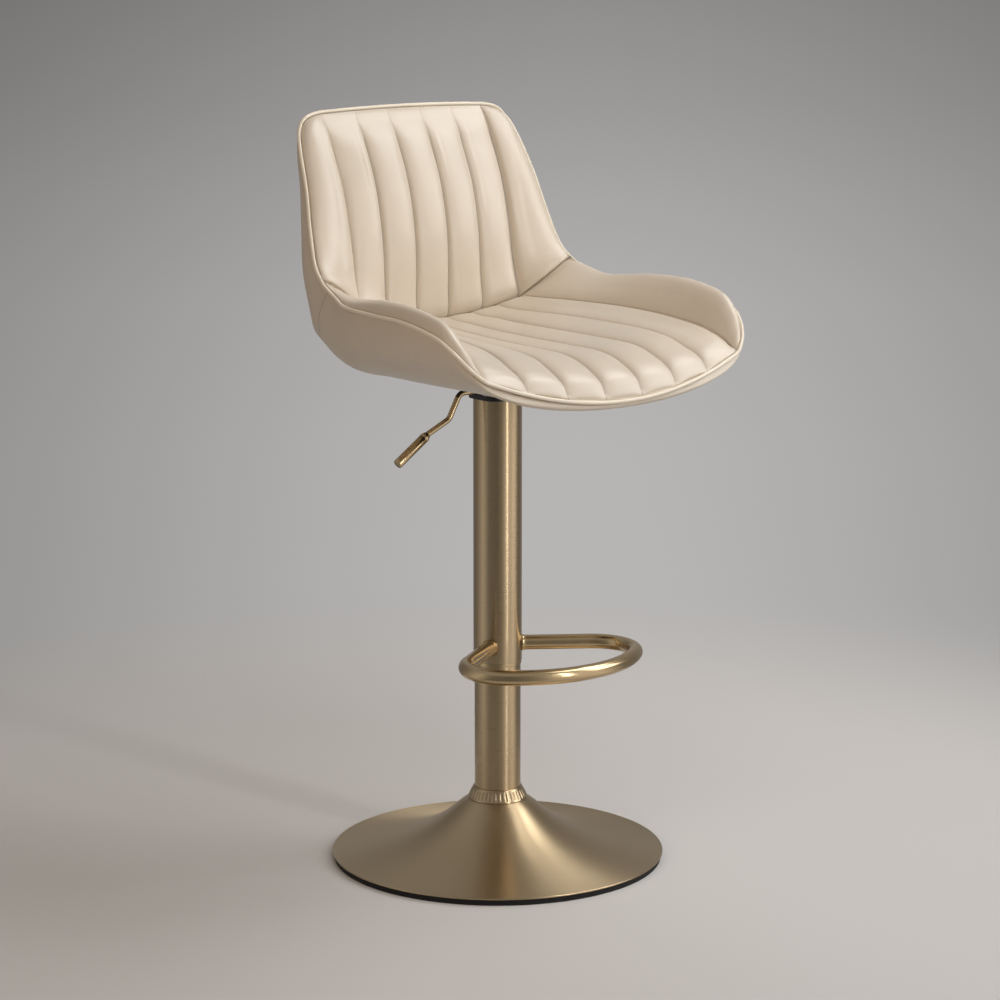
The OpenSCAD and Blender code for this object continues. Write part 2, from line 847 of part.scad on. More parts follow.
function sized_y(y) = y < 0 ? y * seat_front / draft_front : y * seat_back / draft_back;
function sized_z(z) =
    z < draft_seat_t ? z * seat_t / draft_seat_t
    : seat_t + (z - draft_seat_t) * back_h / draft_back_h;
function sized(p) = [p[0] * seat_w / draft_w, sized_y(p[1]), sized_z(p[2])];

// Smooth curve through a list's points, with a corner at the crease
function smooth(a, v) =
    let(
        n = len(a) - 1, i = min(floor(v), n - 1), t = v - i,
        before = i == 0 || i == crease ? 2 * a[i] - a[i + 1] : a[i - 1],
        after = i + 1 == n || i + 1 == crease ? 2 * a[i + 1] - a[i] : a[i + 2]
    )
    0.5 * (2 * a[i] + (a[i + 1] - before) * t
        + (2 * before - 5 * a[i] + 4 * a[i + 1] - after) * t * t
        + (3 * a[i] - before - 3 * a[i + 1] + after) * t * t * t);

middle_sized = [for (p = middle_line) sized([0, p[0], p[1]])];
seam_sized = [for (p = seam_line) sized(p)];
rim_sized = [for (p = rim_line) sized(p)];
under_sized = [for (p = under_line) sized([0, p[0], p[1]])];

// Padding's facing direction and the edge's outward direction, seen from the right
function face_dir(v) = let(a = smooth(facing, v)) [0, -cos(a), sin(a)];
function edge_dir(v, turn_by) =
    let(a = smooth(facing, v))
    [cos(turn_by), sin(turn_by) * sin(a), sin(turn_by) * cos(a)];
// Along the top and front edges the outward direction swings into the corner
function edge_turn_at(v, u) =
    let(t = max(0, (u - seam_share) / (1 - seam_share)), corner = smooth(edge_turn, v))
    u == 1 ? corner : v == 0 ? 90 - (90 - corner) * t : -90 + (90 + corner) * t;
function on_edge(v, u) = u == 1 || v == 0 || v == last_station;

// Line across the seat at station v, from the middle (u = 0) to a side point (u = 1)
function across(v, u, side) =
    let(c = smooth(middle_sized, v), p = smooth(seam_sized, v), s = u / seam_share)
    s <= 1 ? c + [(p - c)[0] * s, (p - c)[1] * s * s, (p - c)[2] * s * s] :
    let(
        t = (u - seam_share) / (1 - seam_share),
        arch = v < 2 ? corner_arch * (1 - v / 2) : 0,
        q = side + 0.2 * (p - side) + smooth(bulge, v) * face_dir(v) + arch * [0, 0, 1]
    )
    (1 - t) * (1 - t) * p + 2 * t * (1 - t) * q + t * t * side;

// Centre of the piping, where (v, u) lies on the edge
function piping_at(v, u) = across(v, u, smooth(rim_sized, v));

// Padded surface; on the edge it stops just inside the piping
edge_in = piping_d / 2 + 0.3;
function lip(v, u, side) =
    piping_at(v, u) + side * edge_t / 2 * face_dir(v)
    - edge_in * edge_dir(v, edge_turn_at(v, u));
function padded(v, u) =
    on_edge(v, u) ? lip(v, u, 1) : across(v, u, lip(v, 1, 1));

// Outer surface: a squarish arch from the underside's middle to the edge
function outer(v, u) =
    on_edge(v, u) ? lip(v, u, -1) :
    let(
        side = lip(v, 1, -1), c = smooth(under_sized, v),
        x = padded(v, u)[0], t = min(1, x / side[0]),
        f = 1 - sqrt(1 - pow(t, smooth(squareness, v)))
    )
    [x * side[0] / max(side[0], x), c[1] + (side[1] - c[1]) * f, c[2] + (side[2] - c[2]) * f];

// A point at depth d from the outer surface, with d held within a share of the padding
function layer_point(o, p, d, share) =
    let(l = norm(p - o)) o + (p - o) * min(d / l, share);
function level(v, u, k) =
    let(o = outer(v, u), p = padded(v, u))
    k == 0 ? o : k == 1 ? layer_point(o, p, cover_t, 0.3)
    : k == 2 ? layer_point(o, p, cover_t + shell_t, 0.65) : p;

// Places of the loft's grid, along the stations and across the seat
steps_per_station = 2;
stations = concat(
    [0], [for (i = [steps_per_station:(last_station - 1) * steps_per_station]) i / steps_per_station],
    [last_station]
);
mid_steps = 5;
side_shares = [0.72, 0.79, 0.86, 0.92, 0.96, 0.985, 1];
mid_shares = [for (i = [0:mid_steps - 1]) seam_share * i / mid_steps];
right_half = concat(mid_shares, side_shares);
full_width = concat([for (i = [len(right_half) - 1:-1:1]) -right_half[i]], right_half);
mid_width = concat(
    [for (i = [mid_steps:-1:1]) -seam_share * i / mid_steps], mid_shares, [seam_share]
);

function on_side(v, u, k) =
    let(p = level(v, abs(u), k)) [sign(u) * p[0], p[1], p[2] + plate_z];

// Closed solid between two levels of the loft, over the given stations and shares
module layer(vs, us, low, high) {
    m = len(vs);
    n = len(us);
    points = [for (k = [low, high], v = vs, u = us) on_side(v, u, k)];
    size = m * n;
    function at(k, i, j) = k * size + i * n + j;
    skins = [
        for (i = [0:m - 2], j = [0:n - 2])
            each [
                [at(0, i, j), at(0, i + 1, j + 1), at(0, i, j + 1)],
                [at(0, i, j), at(0, i + 1, j), at(0, i + 1, j + 1)],
                [at(1, i, j), at(1, i, j + 1), at(1, i + 1, j + 1)],
                [at(1, i, j), at(1, i + 1, j + 1), at(1, i + 1, j)]
            ]
    ];
    ends = [
        for (j = [0:n - 2])
            each [
                [at(0, 0, j), at(0, 0, j + 1), at(1, 0, j + 1)],
                [at(0, 0, j), at(1, 0, j + 1), at(1, 0, j)],
                [at(0, m - 1, j), at(1, m - 1, j + 1), at(0, m - 1, j + 1)],
                [at(0, m - 1, j), at(1, m - 1, j), at(1, m - 1, j + 1)]
            ]
    ];
    walls = [
        for (i = [0:m - 2])
            each [
                [at(0, i, 0), at(1, i + 1, 0), at(0, i + 1, 0)],
                [at(0, i, 0), at(1, i, 0), at(1, i + 1, 0)],
                [at(0, i, n - 1), at(0, i + 1, n - 1), at(1, i + 1, n - 1)],
                [at(0, i, n - 1), at(1, i + 1, n - 1), at(1, i, n - 1)]
            ]
    ];
    polyhedron(points, concat(skins, ends, walls));
}

back_stations = [for (v = stations) if (v <= crease) v];
seat_stations = [for (v = stations) if (v >= crease) v];

module outer_cover() {
    color(CREAM)
        difference() {
            layer(stations, full_width, 0, 1);
            seat_bolt_holes(seat_bolt_d + bolt_clearance);
            // The mounting plate presses the cover flat
            translate([0, 0, plate_z - housing_h / 2])
                cube([mount_plate_w + 2, mount_plate_w + 2, housing_h], center = true);
        }
}

module seat_shell() {
    color("#6f5f4b")
        difference() {
            layer(stations, full_width, 1, 2);
            seat_bolt_holes(insert_d);
        }
}

insert_sink = 3;
module seat_bolt_holes(d) {
    translate([0, 0, plate_z - 1])
        seat_bolt_places()
            cylinder(h = cover_t + insert_l + 1, d = d);
}

module back_cushion() {
    color(CREAM)
        layer(back_stations, full_width, 2, 3);
}

module seat_cushion() {
    color(CREAM)
        layer(seat_stations, mid_width, 2, 3);
}

module wing_right() {
    color(CREAM)
        layer(seat_stations, [for (i = [len(side_shares) - 1:-1:0]) -side_shares[i]], 2, 3);
}

module wing_left() {
    color(CREAM)
        layer(seat_stations, side_shares, 2, 3);
}

// The piping runs once round the edge
piping_sides = 8;
function rim_place(v, u) =
    let(
        a = abs(u), p = piping_at(v, a), turned = edge_turn_at(v, a),
        e = edge_dir(v, turned), f = face_dir(v), s = u < 0 ? -1 : 1
    )
    [
        for (k = [0:piping_sides - 1])
            let(w = 360 / piping_sides * k, q = p + piping_d / 2 * (cos(w) * e + sin(w) * f))
            [s * q[0], q[1], q[2] + plate_z]
    ];

module piping() {
    n = len(full_width);
    loop = concat(
        [for (u = full_width) rim_place(0, u)],
        [for (v = stations) if (v > 0 && v < last_station) rim_place(v, 1)],
        [for (i = [n - 1:-1:0]) rim_place(last_station, full_width[i])],
        [
            for (i = [len(stations) - 2:-1:1])
                rim_place(stations[i], -1)
        ]
    );
    color("#e6dac6")
        swept_tube(loop, loop = true);
}

seat_head_h = 4;
module seat_bolts() {
    color(STEEL)
        seat_bolt_places() {
            translate([0, 0, plate_bottom_z - seat_head_h])
                cylinder(h = seat_head_h, d = head_share * seat_bolt_d);
            translate([0, 0, plate_bottom_z])
                cylinder(h = seat_bolt_l, d = seat_bolt_d);
        }
}

module seat_inserts() {
    color(STEEL)
        translate([0, 0, plate_z + cover_t + insert_sink])
            seat_bolt_places()
                difference() {
                    cylinder(h = insert_l - insert_sink, d = insert_d);
                    translate([0, 0, -1])
                        cylinder(h = insert_l + 1, d = seat_bolt_d + 2 * run_gap);
                }
}

floor_ring();
centre_foot();
base_plate();
base_dish();
neck_ring();
column_flange();
foot_bolts();
lower_column();
column_bush();
bearing_seat();
race_lower();
bearing_balls();
race_upper();
rod_washer();
rod_clip();
piston_rod();
piston();
gas_cylinder();
rod_guide();
valve_button();
sleeve();
sleeve_collar();
sleeve_guide_ring();
footrest_hoop();
seat_plate();
lever_bracket();
lever_pin();
lever_hub();
lever_rod();
lever_grip();
seat_bolts();
seat_inserts();
outer_cover();
seat_shell();
seat_cushion();
back_cushion();
wing_right();
wing_left();
piping();
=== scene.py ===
"""Bar stool with a trumpet base, a gas-lift column, a footrest hoop, a height lever and a
padded bucket seat.

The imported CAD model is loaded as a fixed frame, and the pieces that show are built over
it. The file is laid out as an add-on: sizes and colours are scene properties, each piece
or group of like pieces has an operator, and main() calls the operators in order.
"""

import json
import math

import bmesh
import bpy
import numpy as np
from bpy.props import (
    FloatProperty,
    FloatVectorProperty,
    IntProperty,
    PointerProperty,
)
from bpy.types import Operator, Panel, PropertyGroup
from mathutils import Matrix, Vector
from mathutils.kdtree import KDTree


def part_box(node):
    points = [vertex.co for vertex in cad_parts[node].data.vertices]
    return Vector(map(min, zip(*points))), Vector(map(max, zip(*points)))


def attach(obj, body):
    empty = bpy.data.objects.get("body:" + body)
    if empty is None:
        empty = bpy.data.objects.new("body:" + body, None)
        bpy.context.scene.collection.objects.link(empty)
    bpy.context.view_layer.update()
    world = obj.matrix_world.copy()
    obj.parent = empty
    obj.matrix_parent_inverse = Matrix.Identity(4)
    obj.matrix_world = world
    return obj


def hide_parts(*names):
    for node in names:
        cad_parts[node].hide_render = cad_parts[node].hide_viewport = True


bl_info = {
    "name": "Padded Swivel Bar Stool",
    "version": (1, 0, 0),
    "blender": (4, 5, 0),
    "location": "View3D > Sidebar > Stool",
    "description": "Builds a height-adjustable bar stool with a channelled bucket seat",
    "category": "Object",
}

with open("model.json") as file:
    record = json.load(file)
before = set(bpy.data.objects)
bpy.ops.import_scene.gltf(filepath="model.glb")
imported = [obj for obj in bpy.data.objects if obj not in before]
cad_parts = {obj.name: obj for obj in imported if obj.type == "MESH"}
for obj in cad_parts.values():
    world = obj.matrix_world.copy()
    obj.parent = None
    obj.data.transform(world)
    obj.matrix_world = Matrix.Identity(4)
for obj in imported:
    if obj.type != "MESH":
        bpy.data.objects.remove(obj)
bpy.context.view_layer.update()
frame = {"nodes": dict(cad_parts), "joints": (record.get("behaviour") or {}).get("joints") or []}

MM = 0.001
PLATE_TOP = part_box("seat_plate")[1].z / MM

# ------------------------------------------------------------------ colours


def linear(hex_colour):
    """An sRGB hex colour as linear red, green and blue."""
    parts = [int(hex_colour[i : i + 2], 16) / 255 for i in (1, 3, 5)]
    return tuple(
        p / 12.92 if p <= 0.04045 else ((p + 0.055) / 1.055) ** 2.4 for p in parts
    )


def colour_property(name, description, hex_colour):
    return FloatVectorProperty(
        name=name,
        description=description,
        subtype="COLOR",
        size=3,
        min=0,
        max=1,
        default=linear(hex_colour),
    )


class StoolColours(PropertyGroup):
    leather: colour_property(
        "Leather", "Synthetic leather of the pads and the outer cover", "#d8cab7"
    )
    piping: colour_property("Piping", "Cord round the seat's edge", "#ece0cb")
    brass: colour_property("Brushed brass", "Plating of the base and column", "#bea988")
    polished: colour_property(
        "Polished brass", "Plating of the footrest and the lever", "#c4ad87"
    )
    rubber: colour_property("Rubber", "Ring under the base", "#141312")
    steel: colour_property("Steel", "Zinc-plated parts inside", "#a5a6a6")
    powder: colour_property("Powder coat", "Seat plate and gas spring", "#191919")
    plywood: colour_property("Plywood", "Shell inside the seat", "#a98a62")
    floor: colour_property("Floor", "Studio floor", "#d6d4d3")


def length_property(name, description, default_mm, min_mm, max_mm):
    return FloatProperty(
        name=name,
        description=description,
        default=default_mm * MM,
        min=min_mm * MM,
        max=max_mm * MM,
        unit="LENGTH",
    )


class StoolSizes(PropertyGroup):
    channel_h: length_property(
        "Channel height", "How far a channel's middle stands above its seams", 4.6, 0, 8
    )
    panel_h: length_property(
        "Side panel height", "How far the back's side panels are filled out", 6.5, 0, 10
    )
    wing_h: length_property(
        "Wing roll height", "How far a wing's roll is filled out behind its piping", 3, 0, 12
    )
    stitch_depth: length_property(
        "Seam depth", "Depth of the narrow fold along a sewn seam", 1.2, 0, 3
    )
    crease_depth: length_property(
        "Crease depth", "Depth of the fold between the seat and the back", 9, 0, 15
    )
    wing_seam_depth: length_property(
        "Wing seam depth", "Depth of the seam between the seat and a wing", 4.5, 0, 10
    )
    piping_d: length_property(
        "Piping diameter", "Diameter of the cord round the edge", 4.4, 3, 6
    )
    swell_cap: length_property(
        "Swell limit", "Furthest that a pad may swell under its pressure", 6, 0, 12
    )
    voxel: length_property(
        "Cloth cell", "Cell of the mesh that a pad is blown up with", 5, 4, 8
    )
    pressure: FloatProperty(
        name="Pressure",
        description="Pressure inside a pad while it is blown up",
        default=4.0,
        min=0,
        max=20,
    )
    round_steps: IntProperty(
        name="Steps round",
        description="Faces round the base and the column",
        default=160,
        min=48,
        max=256,
    )


# ---------------------------------------------------------------- materials


def add(tree, kind, inputs=None, stops=(), **settings):
    """Adds a shader node. An input takes a value or another node's output, and a colour
    ramp takes its stops, each a place and a colour."""
    made = tree.nodes.new(kind)
    for key, value in settings.items():
        setattr(made, key, value)
    for key, value in (inputs or {}).items():
        if isinstance(value, bpy.types.NodeSocket):
            tree.links.new(value, made.inputs[key])
        else:
            made.inputs[key].default_value = value
    for k, (at, colour) in enumerate(stops):
        elements = made.color_ramp.elements
        stop = elements[k] if k < 2 else elements.new(at)
        stop.position, stop.color = at, colour
    return made


def start_material(name):
    """A new empty material, its node tree and the stool's own coordinates."""
    material = bpy.data.materials.new(name)
    material.use_nodes = True
    tree = material.node_tree
    tree.nodes.clear()
    place = add(tree, "ShaderNodeTexCoord").outputs["Object"]
    return material, tree, place


def finish_material(material, shader):
    """The material with the shader as its surface."""
    add(material.node_tree, "ShaderNodeOutputMaterial", {"Surface": shader.outputs[0]})
    return material


def rgba(colour, factor=1.0):
    """The colour made lighter or darker by a factor, as a socket takes it."""
    return (*(min(1.0, c * factor) for c in colour), 1.0)


def synthetic_leather(name, colour, sewn):
    """Polyurethane leather: a satin coating pressed with a fine pebble grain.

    The coating gives a broad soft sheen and hardly any texture from afar. Where it is
    sewn, and in the crease and along the piping, painted shade darkens its colour, and it puckers a
    little between the stitches.
    """
    grain_mm, wave_mm, stitch_mm = 1.1, 26.0, 4.5
    # How far a seam's painted shade and its puckers reach, and where the puckers are full
    painted_shade_mm, pucker_mm, full_mm = 1.5, 6.0, 0.6
    material, tree, place = start_material(name)
    grain = add(
        tree,
        "ShaderNodeTexVoronoi",
        {"Vector": place, "Scale": 1 / (grain_mm * MM), "Randomness": 0.9},
        feature="SMOOTH_F1",
    ).outputs["Distance"]
    wave = add(
        tree,
        "ShaderNodeTexNoise",
        {"Vector": place, "Scale": 1 / (wave_mm * MM), "Detail": 3.0, "Roughness": 0.45},
    ).outputs["Fac"]
    shade = add(
        tree,
        "ShaderNodeMixRGB",
        {"Fac": wave, "Color1": rgba(colour, 0.955), "Color2": rgba(colour, 1.035)},
    ).outputs["Color"]
    height = add(
        tree, "ShaderNodeMath", {0: grain, 1: 0.12}, operation="MULTIPLY"
    ).outputs[0]
    height = add(
        tree, "ShaderNodeMath", {0: wave, 1: 1.6, 2: height}, operation="MULTIPLY_ADD"
    ).outputs[0]
    if sewn:
        seam = add(tree, "ShaderNodeAttribute", attribute_name="seam_mm").outputs["Fac"]
        along = add(tree, "ShaderNodeAttribute", attribute_name="along_mm").outputs["Fac"]
        # Painted shade: the colour darkens towards 0.62 of itself at a seam, in the crease and along
        # the piping
        dark, near = (
            add(
                tree,
                "ShaderNodeMapRange",
                {"Value": seam, "From Min": low, "From Max": high, "To Min": 1.0, "To Max": 0.0},
                interpolation_type="SMOOTHSTEP",
            ).outputs[0]
            for low, high in ((0.0, painted_shade_mm), (full_mm, pucker_mm))
        )
        shade = add(
            tree,
            "ShaderNodeMixRGB",
            {"Fac": dark, "Color1": shade, "Color2": rgba(colour, 0.62)},
        ).outputs["Color"]
        turn = add(
            tree, "ShaderNodeMath", {0: along, 1: 2 * math.pi / stitch_mm}, operation="MULTIPLY"
        ).outputs[0]
        stitch = add(tree, "ShaderNodeMath", {0: turn}, operation="SINE").outputs[0]
        pucker = add(
            tree, "ShaderNodeMath", {0: stitch, 1: near}, operation="MULTIPLY"
        ).outputs[0]
        height = add(
            tree, "ShaderNodeMath", {0: pucker, 1: 0.35, 2: height}, operation="MULTIPLY_ADD"
        ).outputs[0]
    bump = add(
        tree,
        "ShaderNodeBump",
        {"Height": height, "Strength": 0.35, "Distance": 0.3 * MM},
    )
    rough = add(
        tree,
        "ShaderNodeMapRange",
        {"Value": wave, "To Min": 0.31, "To Max": 0.41},
    )
    shader = add(
        tree,
        "ShaderNodeBsdfPrincipled",
        {
            "Base Color": shade,
            "Roughness": rough.outputs[0],
            "IOR": 1.5,
            "Specular IOR Level": 0.5,
            "Coat Weight": 0.4,
            "Coat Roughness": 0.34,
            "Sheen Weight": 0.06,
            "Sheen Roughness": 0.5,
            "Normal": bump.outputs["Normal"],
        },
    )
    return finish_material(material, shader)


def spun_brass(name, colour, rough, line_mm, stretch):
    """Champagne brass plating on steel, brushed round its axis while it was spun.

    The brushing spreads a highlight along the axis, so a tube shows tall bands with
    crisp sides and the dish shows fans of light that run out from its neck. The lines
    are drawn coarser than the real 0.1 mm so that they still show.
    """
    cloud_mm = 45.5
    drift_mm = 0.6  # how little the pattern changes for each radian round the axis
    material, tree, place = start_material(name)
    parts = add(tree, "ShaderNodeSeparateXYZ", {"Vector": place}).outputs
    flat = add(tree, "ShaderNodeCombineXYZ", {"X": parts["X"], "Y": parts["Y"]}).outputs[0]
    radius = add(tree, "ShaderNodeVectorMath", {0: flat}, operation="LENGTH").outputs["Value"]
    angle = add(
        tree, "ShaderNodeMath", {0: parts["Y"], 1: parts["X"]}, operation="ARCTAN2"
    ).outputs[0]
    slow = add(
        tree, "ShaderNodeMath", {0: angle, 1: drift_mm * MM}, operation="MULTIPLY"
    ).outputs[0]
    turned = add(tree, "ShaderNodeCombineXYZ", {"X": slow, "Y": radius, "Z": parts["Z"]})
    lines = add(
        tree,
        "ShaderNodeTexNoise",
        {
            "Vector": turned.outputs[0],
            "Scale": 1 / (line_mm * MM),
            "Detail": 2.0,
            "Roughness": 0.6,
        },
    ).outputs["Fac"]
    cloud = add(
        tree,
        "ShaderNodeTexNoise",
        {"Vector": place, "Scale": 1 / (cloud_mm * MM), "Detail": 2.0},
    ).outputs["Fac"]
    tone = add(
        tree,
        "ShaderNodeMixRGB",
        {"Fac": lines, "Color1": rgba(colour, 0.93), "Color2": rgba(colour, 1.05)},
    )
    rough_lines = add(
        tree,
        "ShaderNodeMapRange",
        {"Value": lines, "To Min": rough - 0.05, "To Max": rough + 0.05},
    ).outputs[0]
    rough_all = add(
        tree, "ShaderNodeMath", {0: cloud, 1: 0.05, 2: rough_lines}, operation="MULTIPLY_ADD"
    ).outputs[0]
    bump = add(
        tree,
        "ShaderNodeBump",
        {"Height": lines, "Strength": 0.05, "Distance": 0.02 * MM},
    )
    round_axis = add(tree, "ShaderNodeTangent", direction_type="RADIAL", axis="Z")
    shader = add(
        tree,
        "ShaderNodeBsdfPrincipled",
        {
            "Base Color": tone.outputs["Color"],
            "Metallic": 1.0,
            "Roughness": rough_all,
            "Anisotropic": stretch,
            "Anisotropic Rotation": 0.25,
            "Tangent": round_axis.outputs[0],
            "Normal": bump.outputs["Normal"],
        },
    )
    return finish_material(material, shader)


def buffed_brass(name, colour, rough):
    """Champagne brass plating on bent rod, buffed after bending.

    Buffing leaves a bright surface with faint fine marks and slightly duller patches.
    """
    patch_mm, mark_mm = 9, 0.8
    material, tree, place = start_material(name)
    cloud = add(
        tree,
        "ShaderNodeTexNoise",
        {"Vector": place, "Scale": 1 / (patch_mm * MM), "Detail": 3.0},
    ).outputs["Fac"]
    marks = add(
        tree,
        "ShaderNodeTexNoise",
        {"Vector": place, "Scale": 1 / (mark_mm * MM), "Detail": 2.0},
    ).outputs["Fac"]
    tone = add(
        tree,
        "ShaderNodeMixRGB",
        {"Fac": cloud, "Color1": rgba(colour, 0.94), "Color2": rgba(colour, 1.05)},
    )
    rough_all = add(
        tree,
        "ShaderNodeMapRange",
        {"Value": cloud, "To Min": rough - 0.04, "To Max": rough + 0.05},
    ).outputs[0]
    bump = add(
        tree,
        "ShaderNodeBump",
        {"Height": marks, "Strength": 0.03, "Distance": 0.02 * MM},
    )
    shader = add(
        tree,
        "ShaderNodeBsdfPrincipled",
        {
            "Base Color": tone.outputs["Color"],
            "Metallic": 1.0,
            "Roughness": rough_all,
            "Normal": bump.outputs["Normal"],
        },
    )
    return finish_material(material, shader)


def plain_surface(name, colour, rough, metallic, grain_mm, depth_mm, vary):
    """A moulded, coated or plated surface with a grain of one size.

    The grain breaks up the reflections, and the slow change of tone keeps a large face
    from looking like a flat fill.
    """
    cloud_mm = 30
    material, tree, place = start_material(name)
    grain = add(
        tree,
        "ShaderNodeTexNoise",
        {"Vector": place, "Scale": 1 / (grain_mm * MM), "Detail": 3.0},
    ).outputs["Fac"]
    cloud = add(
        tree,
        "ShaderNodeTexNoise",
        {"Vector": place, "Scale": 1 / (cloud_mm * MM), "Detail": 2.0},
    ).outputs["Fac"]
    tone = add(
        tree,
        "ShaderNodeMixRGB",
        {"Fac": cloud, "Color1": rgba(colour, 1 - vary), "Color2": rgba(colour, 1 + vary)},
    )
    rough_all = add(
        tree,
        "ShaderNodeMapRange",
        {"Value": grain, "To Min": rough - 0.06, "To Max": rough + 0.06},
    ).outputs[0]
    bump = add(
        tree,
        "ShaderNodeBump",
        {"Height": grain, "Strength": 0.4, "Distance": depth_mm * MM},
    )
    shader = add(
        tree,
        "ShaderNodeBsdfPrincipled",
        {
            "Base Color": tone.outputs["Color"],
            "Metallic": metallic,
            "Roughness": rough_all,
            "Normal": bump.outputs["Normal"],
        },
    )
    return finish_material(material, shader)


def beech_plywood(name, colour):
    """Bent beech plywood: peeled veneer with long pale and dark streaks."""
    streak_w, streak_l = 3.85 * MM, 55.5 * MM
    material, tree, place = start_material(name)
    drawn_out = add(
        tree,
        "ShaderNodeMapping",
        {"Vector": place, "Scale": (1 / streak_w, 1 / streak_l, 1 / streak_w)},
    )
    streaks = add(
        tree,
        "ShaderNodeTexNoise",
        {"Vector": drawn_out.outputs[0], "Scale": 1.0, "Detail": 4.0},
    ).outputs["Fac"]
    tone = add(
        tree,
        "ShaderNodeMixRGB",
        {"Fac": streaks, "Color1": rgba(colour, 0.72), "Color2": rgba(colour, 1.15)},
    )
    bump = add(
        tree,
        "ShaderNodeBump",
        {"Height": streaks, "Strength": 0.2, "Distance": 0.1 * MM},
    )
    shader = add(
        tree,
        "ShaderNodeBsdfPrincipled",
        {"Base Color": tone.outputs["Color"], "Roughness": 0.6, "Normal": bump.outputs["Normal"]},
    )
    return finish_material(material, shader)


finishes = {}


def make_finishes():
    """All the stool's materials, by a short name.

    Brushed: colour, roughness, line spacing in mm, stretch of the highlights. Plain:
    colour, roughness, metal or not, grain and its depth in mm, change of tone.
    """
    c = bpy.context.scene.stool_colours
    finishes.update(
        sewn=synthetic_leather("cream_pu_leather_sewn", c.leather, True),
        piping=synthetic_leather("cream_pu_leather_cord", c.piping, False),
        dish=spun_brass("brass_plating_spun_dish", c.brass, 0.34, 0.9, 0.9),
        tube=spun_brass("brass_plating_spun_tube", c.brass, 0.27, 0.7, 0.9),
        polished=buffed_brass("brass_plating_buffed", c.polished, 0.2),
        rubber=plain_surface("rubber_moulded", c.rubber, 0.75, 0.0, 0.6, 0.08, 0.2),
        steel=plain_surface("steel_zinc_plated", c.steel, 0.38, 1.0, 0.7, 0.03, 0.08),
        powder=plain_surface("steel_powder_coated", c.powder, 0.45, 0.0, 0.5, 0.06, 0.15),
        nylon=plain_surface("nylon_moulded", c.powder, 0.5, 0.0, 0.8, 0.02, 0.1),
        plywood=beech_plywood("beech_plywood_bent", c.plywood),
    )


# ------------------------------------------------------------------- meshes

FAR_FROM_SEAMS = 50.0
CORNER_POINTS = 5


def turns(count):
    """Even angles round a circle."""
    return np.arange(count) * 2 * np.pi / count


def curve(start, pull, end, t):
    """Points at the shares t of a curve from start to end that is drawn towards pull."""
    return (1 - t) ** 2 * start + 2 * t * (1 - t) * pull + t * t * end


def mesh_piece(name, points_mm, faces):
    """A smooth-shaded mesh object from points in millimetres in the row frame."""
    mesh = bpy.data.meshes.new(name)
    points = np.asarray(points_mm, float) * MM
    mesh.from_pydata([tuple(p) for p in points], [], [tuple(f) for f in faces])
    mesh.validate()
    fixer = bmesh.new()
    fixer.from_mesh(mesh)
    bmesh.ops.recalc_face_normals(fixer, faces=fixer.faces)
    fixer.to_mesh(mesh)
    fixer.free()
    mesh.shade_smooth()
    made = bpy.data.objects.new(name, mesh)
    bpy.context.scene.collection.objects.link(made)
    return made


def dress(piece, finish, body, node):
    """Gives a piece its finish and its body, and hides the CAD node it stands for."""
    piece.data.materials.append(finishes[finish])
    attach(piece, body)
    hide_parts(node)


def mark_seams(piece, **fields):
    """Stores the shown side's fields on a piece; its hidden side is far from any seam."""
    for key, values in fields.items():
        full = np.concatenate([values.ravel(), np.full(values.size, FAR_FROM_SEAMS)])
        field = piece.data.attributes.new(key, "FLOAT", "POINT")
        field.data.foreach_set("value", full.astype(np.float32))


def grid_faces(rows, columns, start=0, closed_rows=False, closed_columns=False):
    """Quads between the neighbours of a grid of points, which may close on itself."""
    i = np.arange(rows if closed_rows else rows - 1)
    j = np.arange(columns if closed_columns else columns - 1)
    i, j = (a.ravel() for a in np.meshgrid(i, j, indexing="ij"))
    here, below = start + i * columns, start + (i + 1) % rows * columns
    right = (j + 1) % columns
    return np.stack([here + j, here + right, below + right, below + j], 1)


def capped_tube_faces(rings, sides):
    """Faces of an open tube of rings, with a cap on both ends."""
    last = (rings - 1) * sides
    caps = [list(range(sides)), list(range(last, last + sides))]
    return grid_faces(rings, sides, closed_columns=True).tolist() + caps


def closed_sheet(top, bottom):
    """Points and quads of the solid between two grids of points."""
    rows, columns = top.shape[:2]
    size = rows * columns
    index = np.arange(size).reshape(rows, columns)
    rim = np.concatenate(
        [index[0, :-1], index[:-1, -1], index[-1, :0:-1], index[:0:-1, 0]]
    )
    after = np.roll(rim, -1)
    walls = np.stack([rim, after, after + size, rim + size], 1)
    faces = np.concatenate(
        [grid_faces(rows, columns), grid_faces(rows, columns, size)[:, ::-1], walls]
    )
    return np.concatenate([top.reshape(-1, 3), bottom.reshape(-1, 3)]), faces


def lathe(profile, steps):
    """Points and quads of a closed profile [(radius, height)] turned about the column."""
    profile = np.asarray(profile, float)
    radius, height = profile[:, :1], profile[:, 1:]
    angle = turns(steps)
    flat = [radius * np.cos(angle), radius * np.sin(angle)]
    points = np.stack([*flat, np.broadcast_to(height, flat[0].shape)], -1)
    faces = grid_faces(len(profile), steps, closed_rows=True, closed_columns=True)
    return points.reshape(-1, 3), faces


def rounded(profile, radius):
    """The closed profile with each corner cut back to an arc of about that radius."""
    profile = np.asarray(profile, float)
    made = []
    for k, corner in enumerate(profile):
        before, after = profile[k - 1] - corner, profile[(k + 1) % len(profile)] - corner
        reach = min(radius, 0.45 * np.linalg.norm(before), 0.45 * np.linalg.norm(after))
        a = corner + before / np.linalg.norm(before) * reach
        b = corner + after / np.linalg.norm(after) * reach
        made.extend(curve(a, corner, b, t) for t in np.linspace(0, 1, CORNER_POINTS))
    return np.array(made)


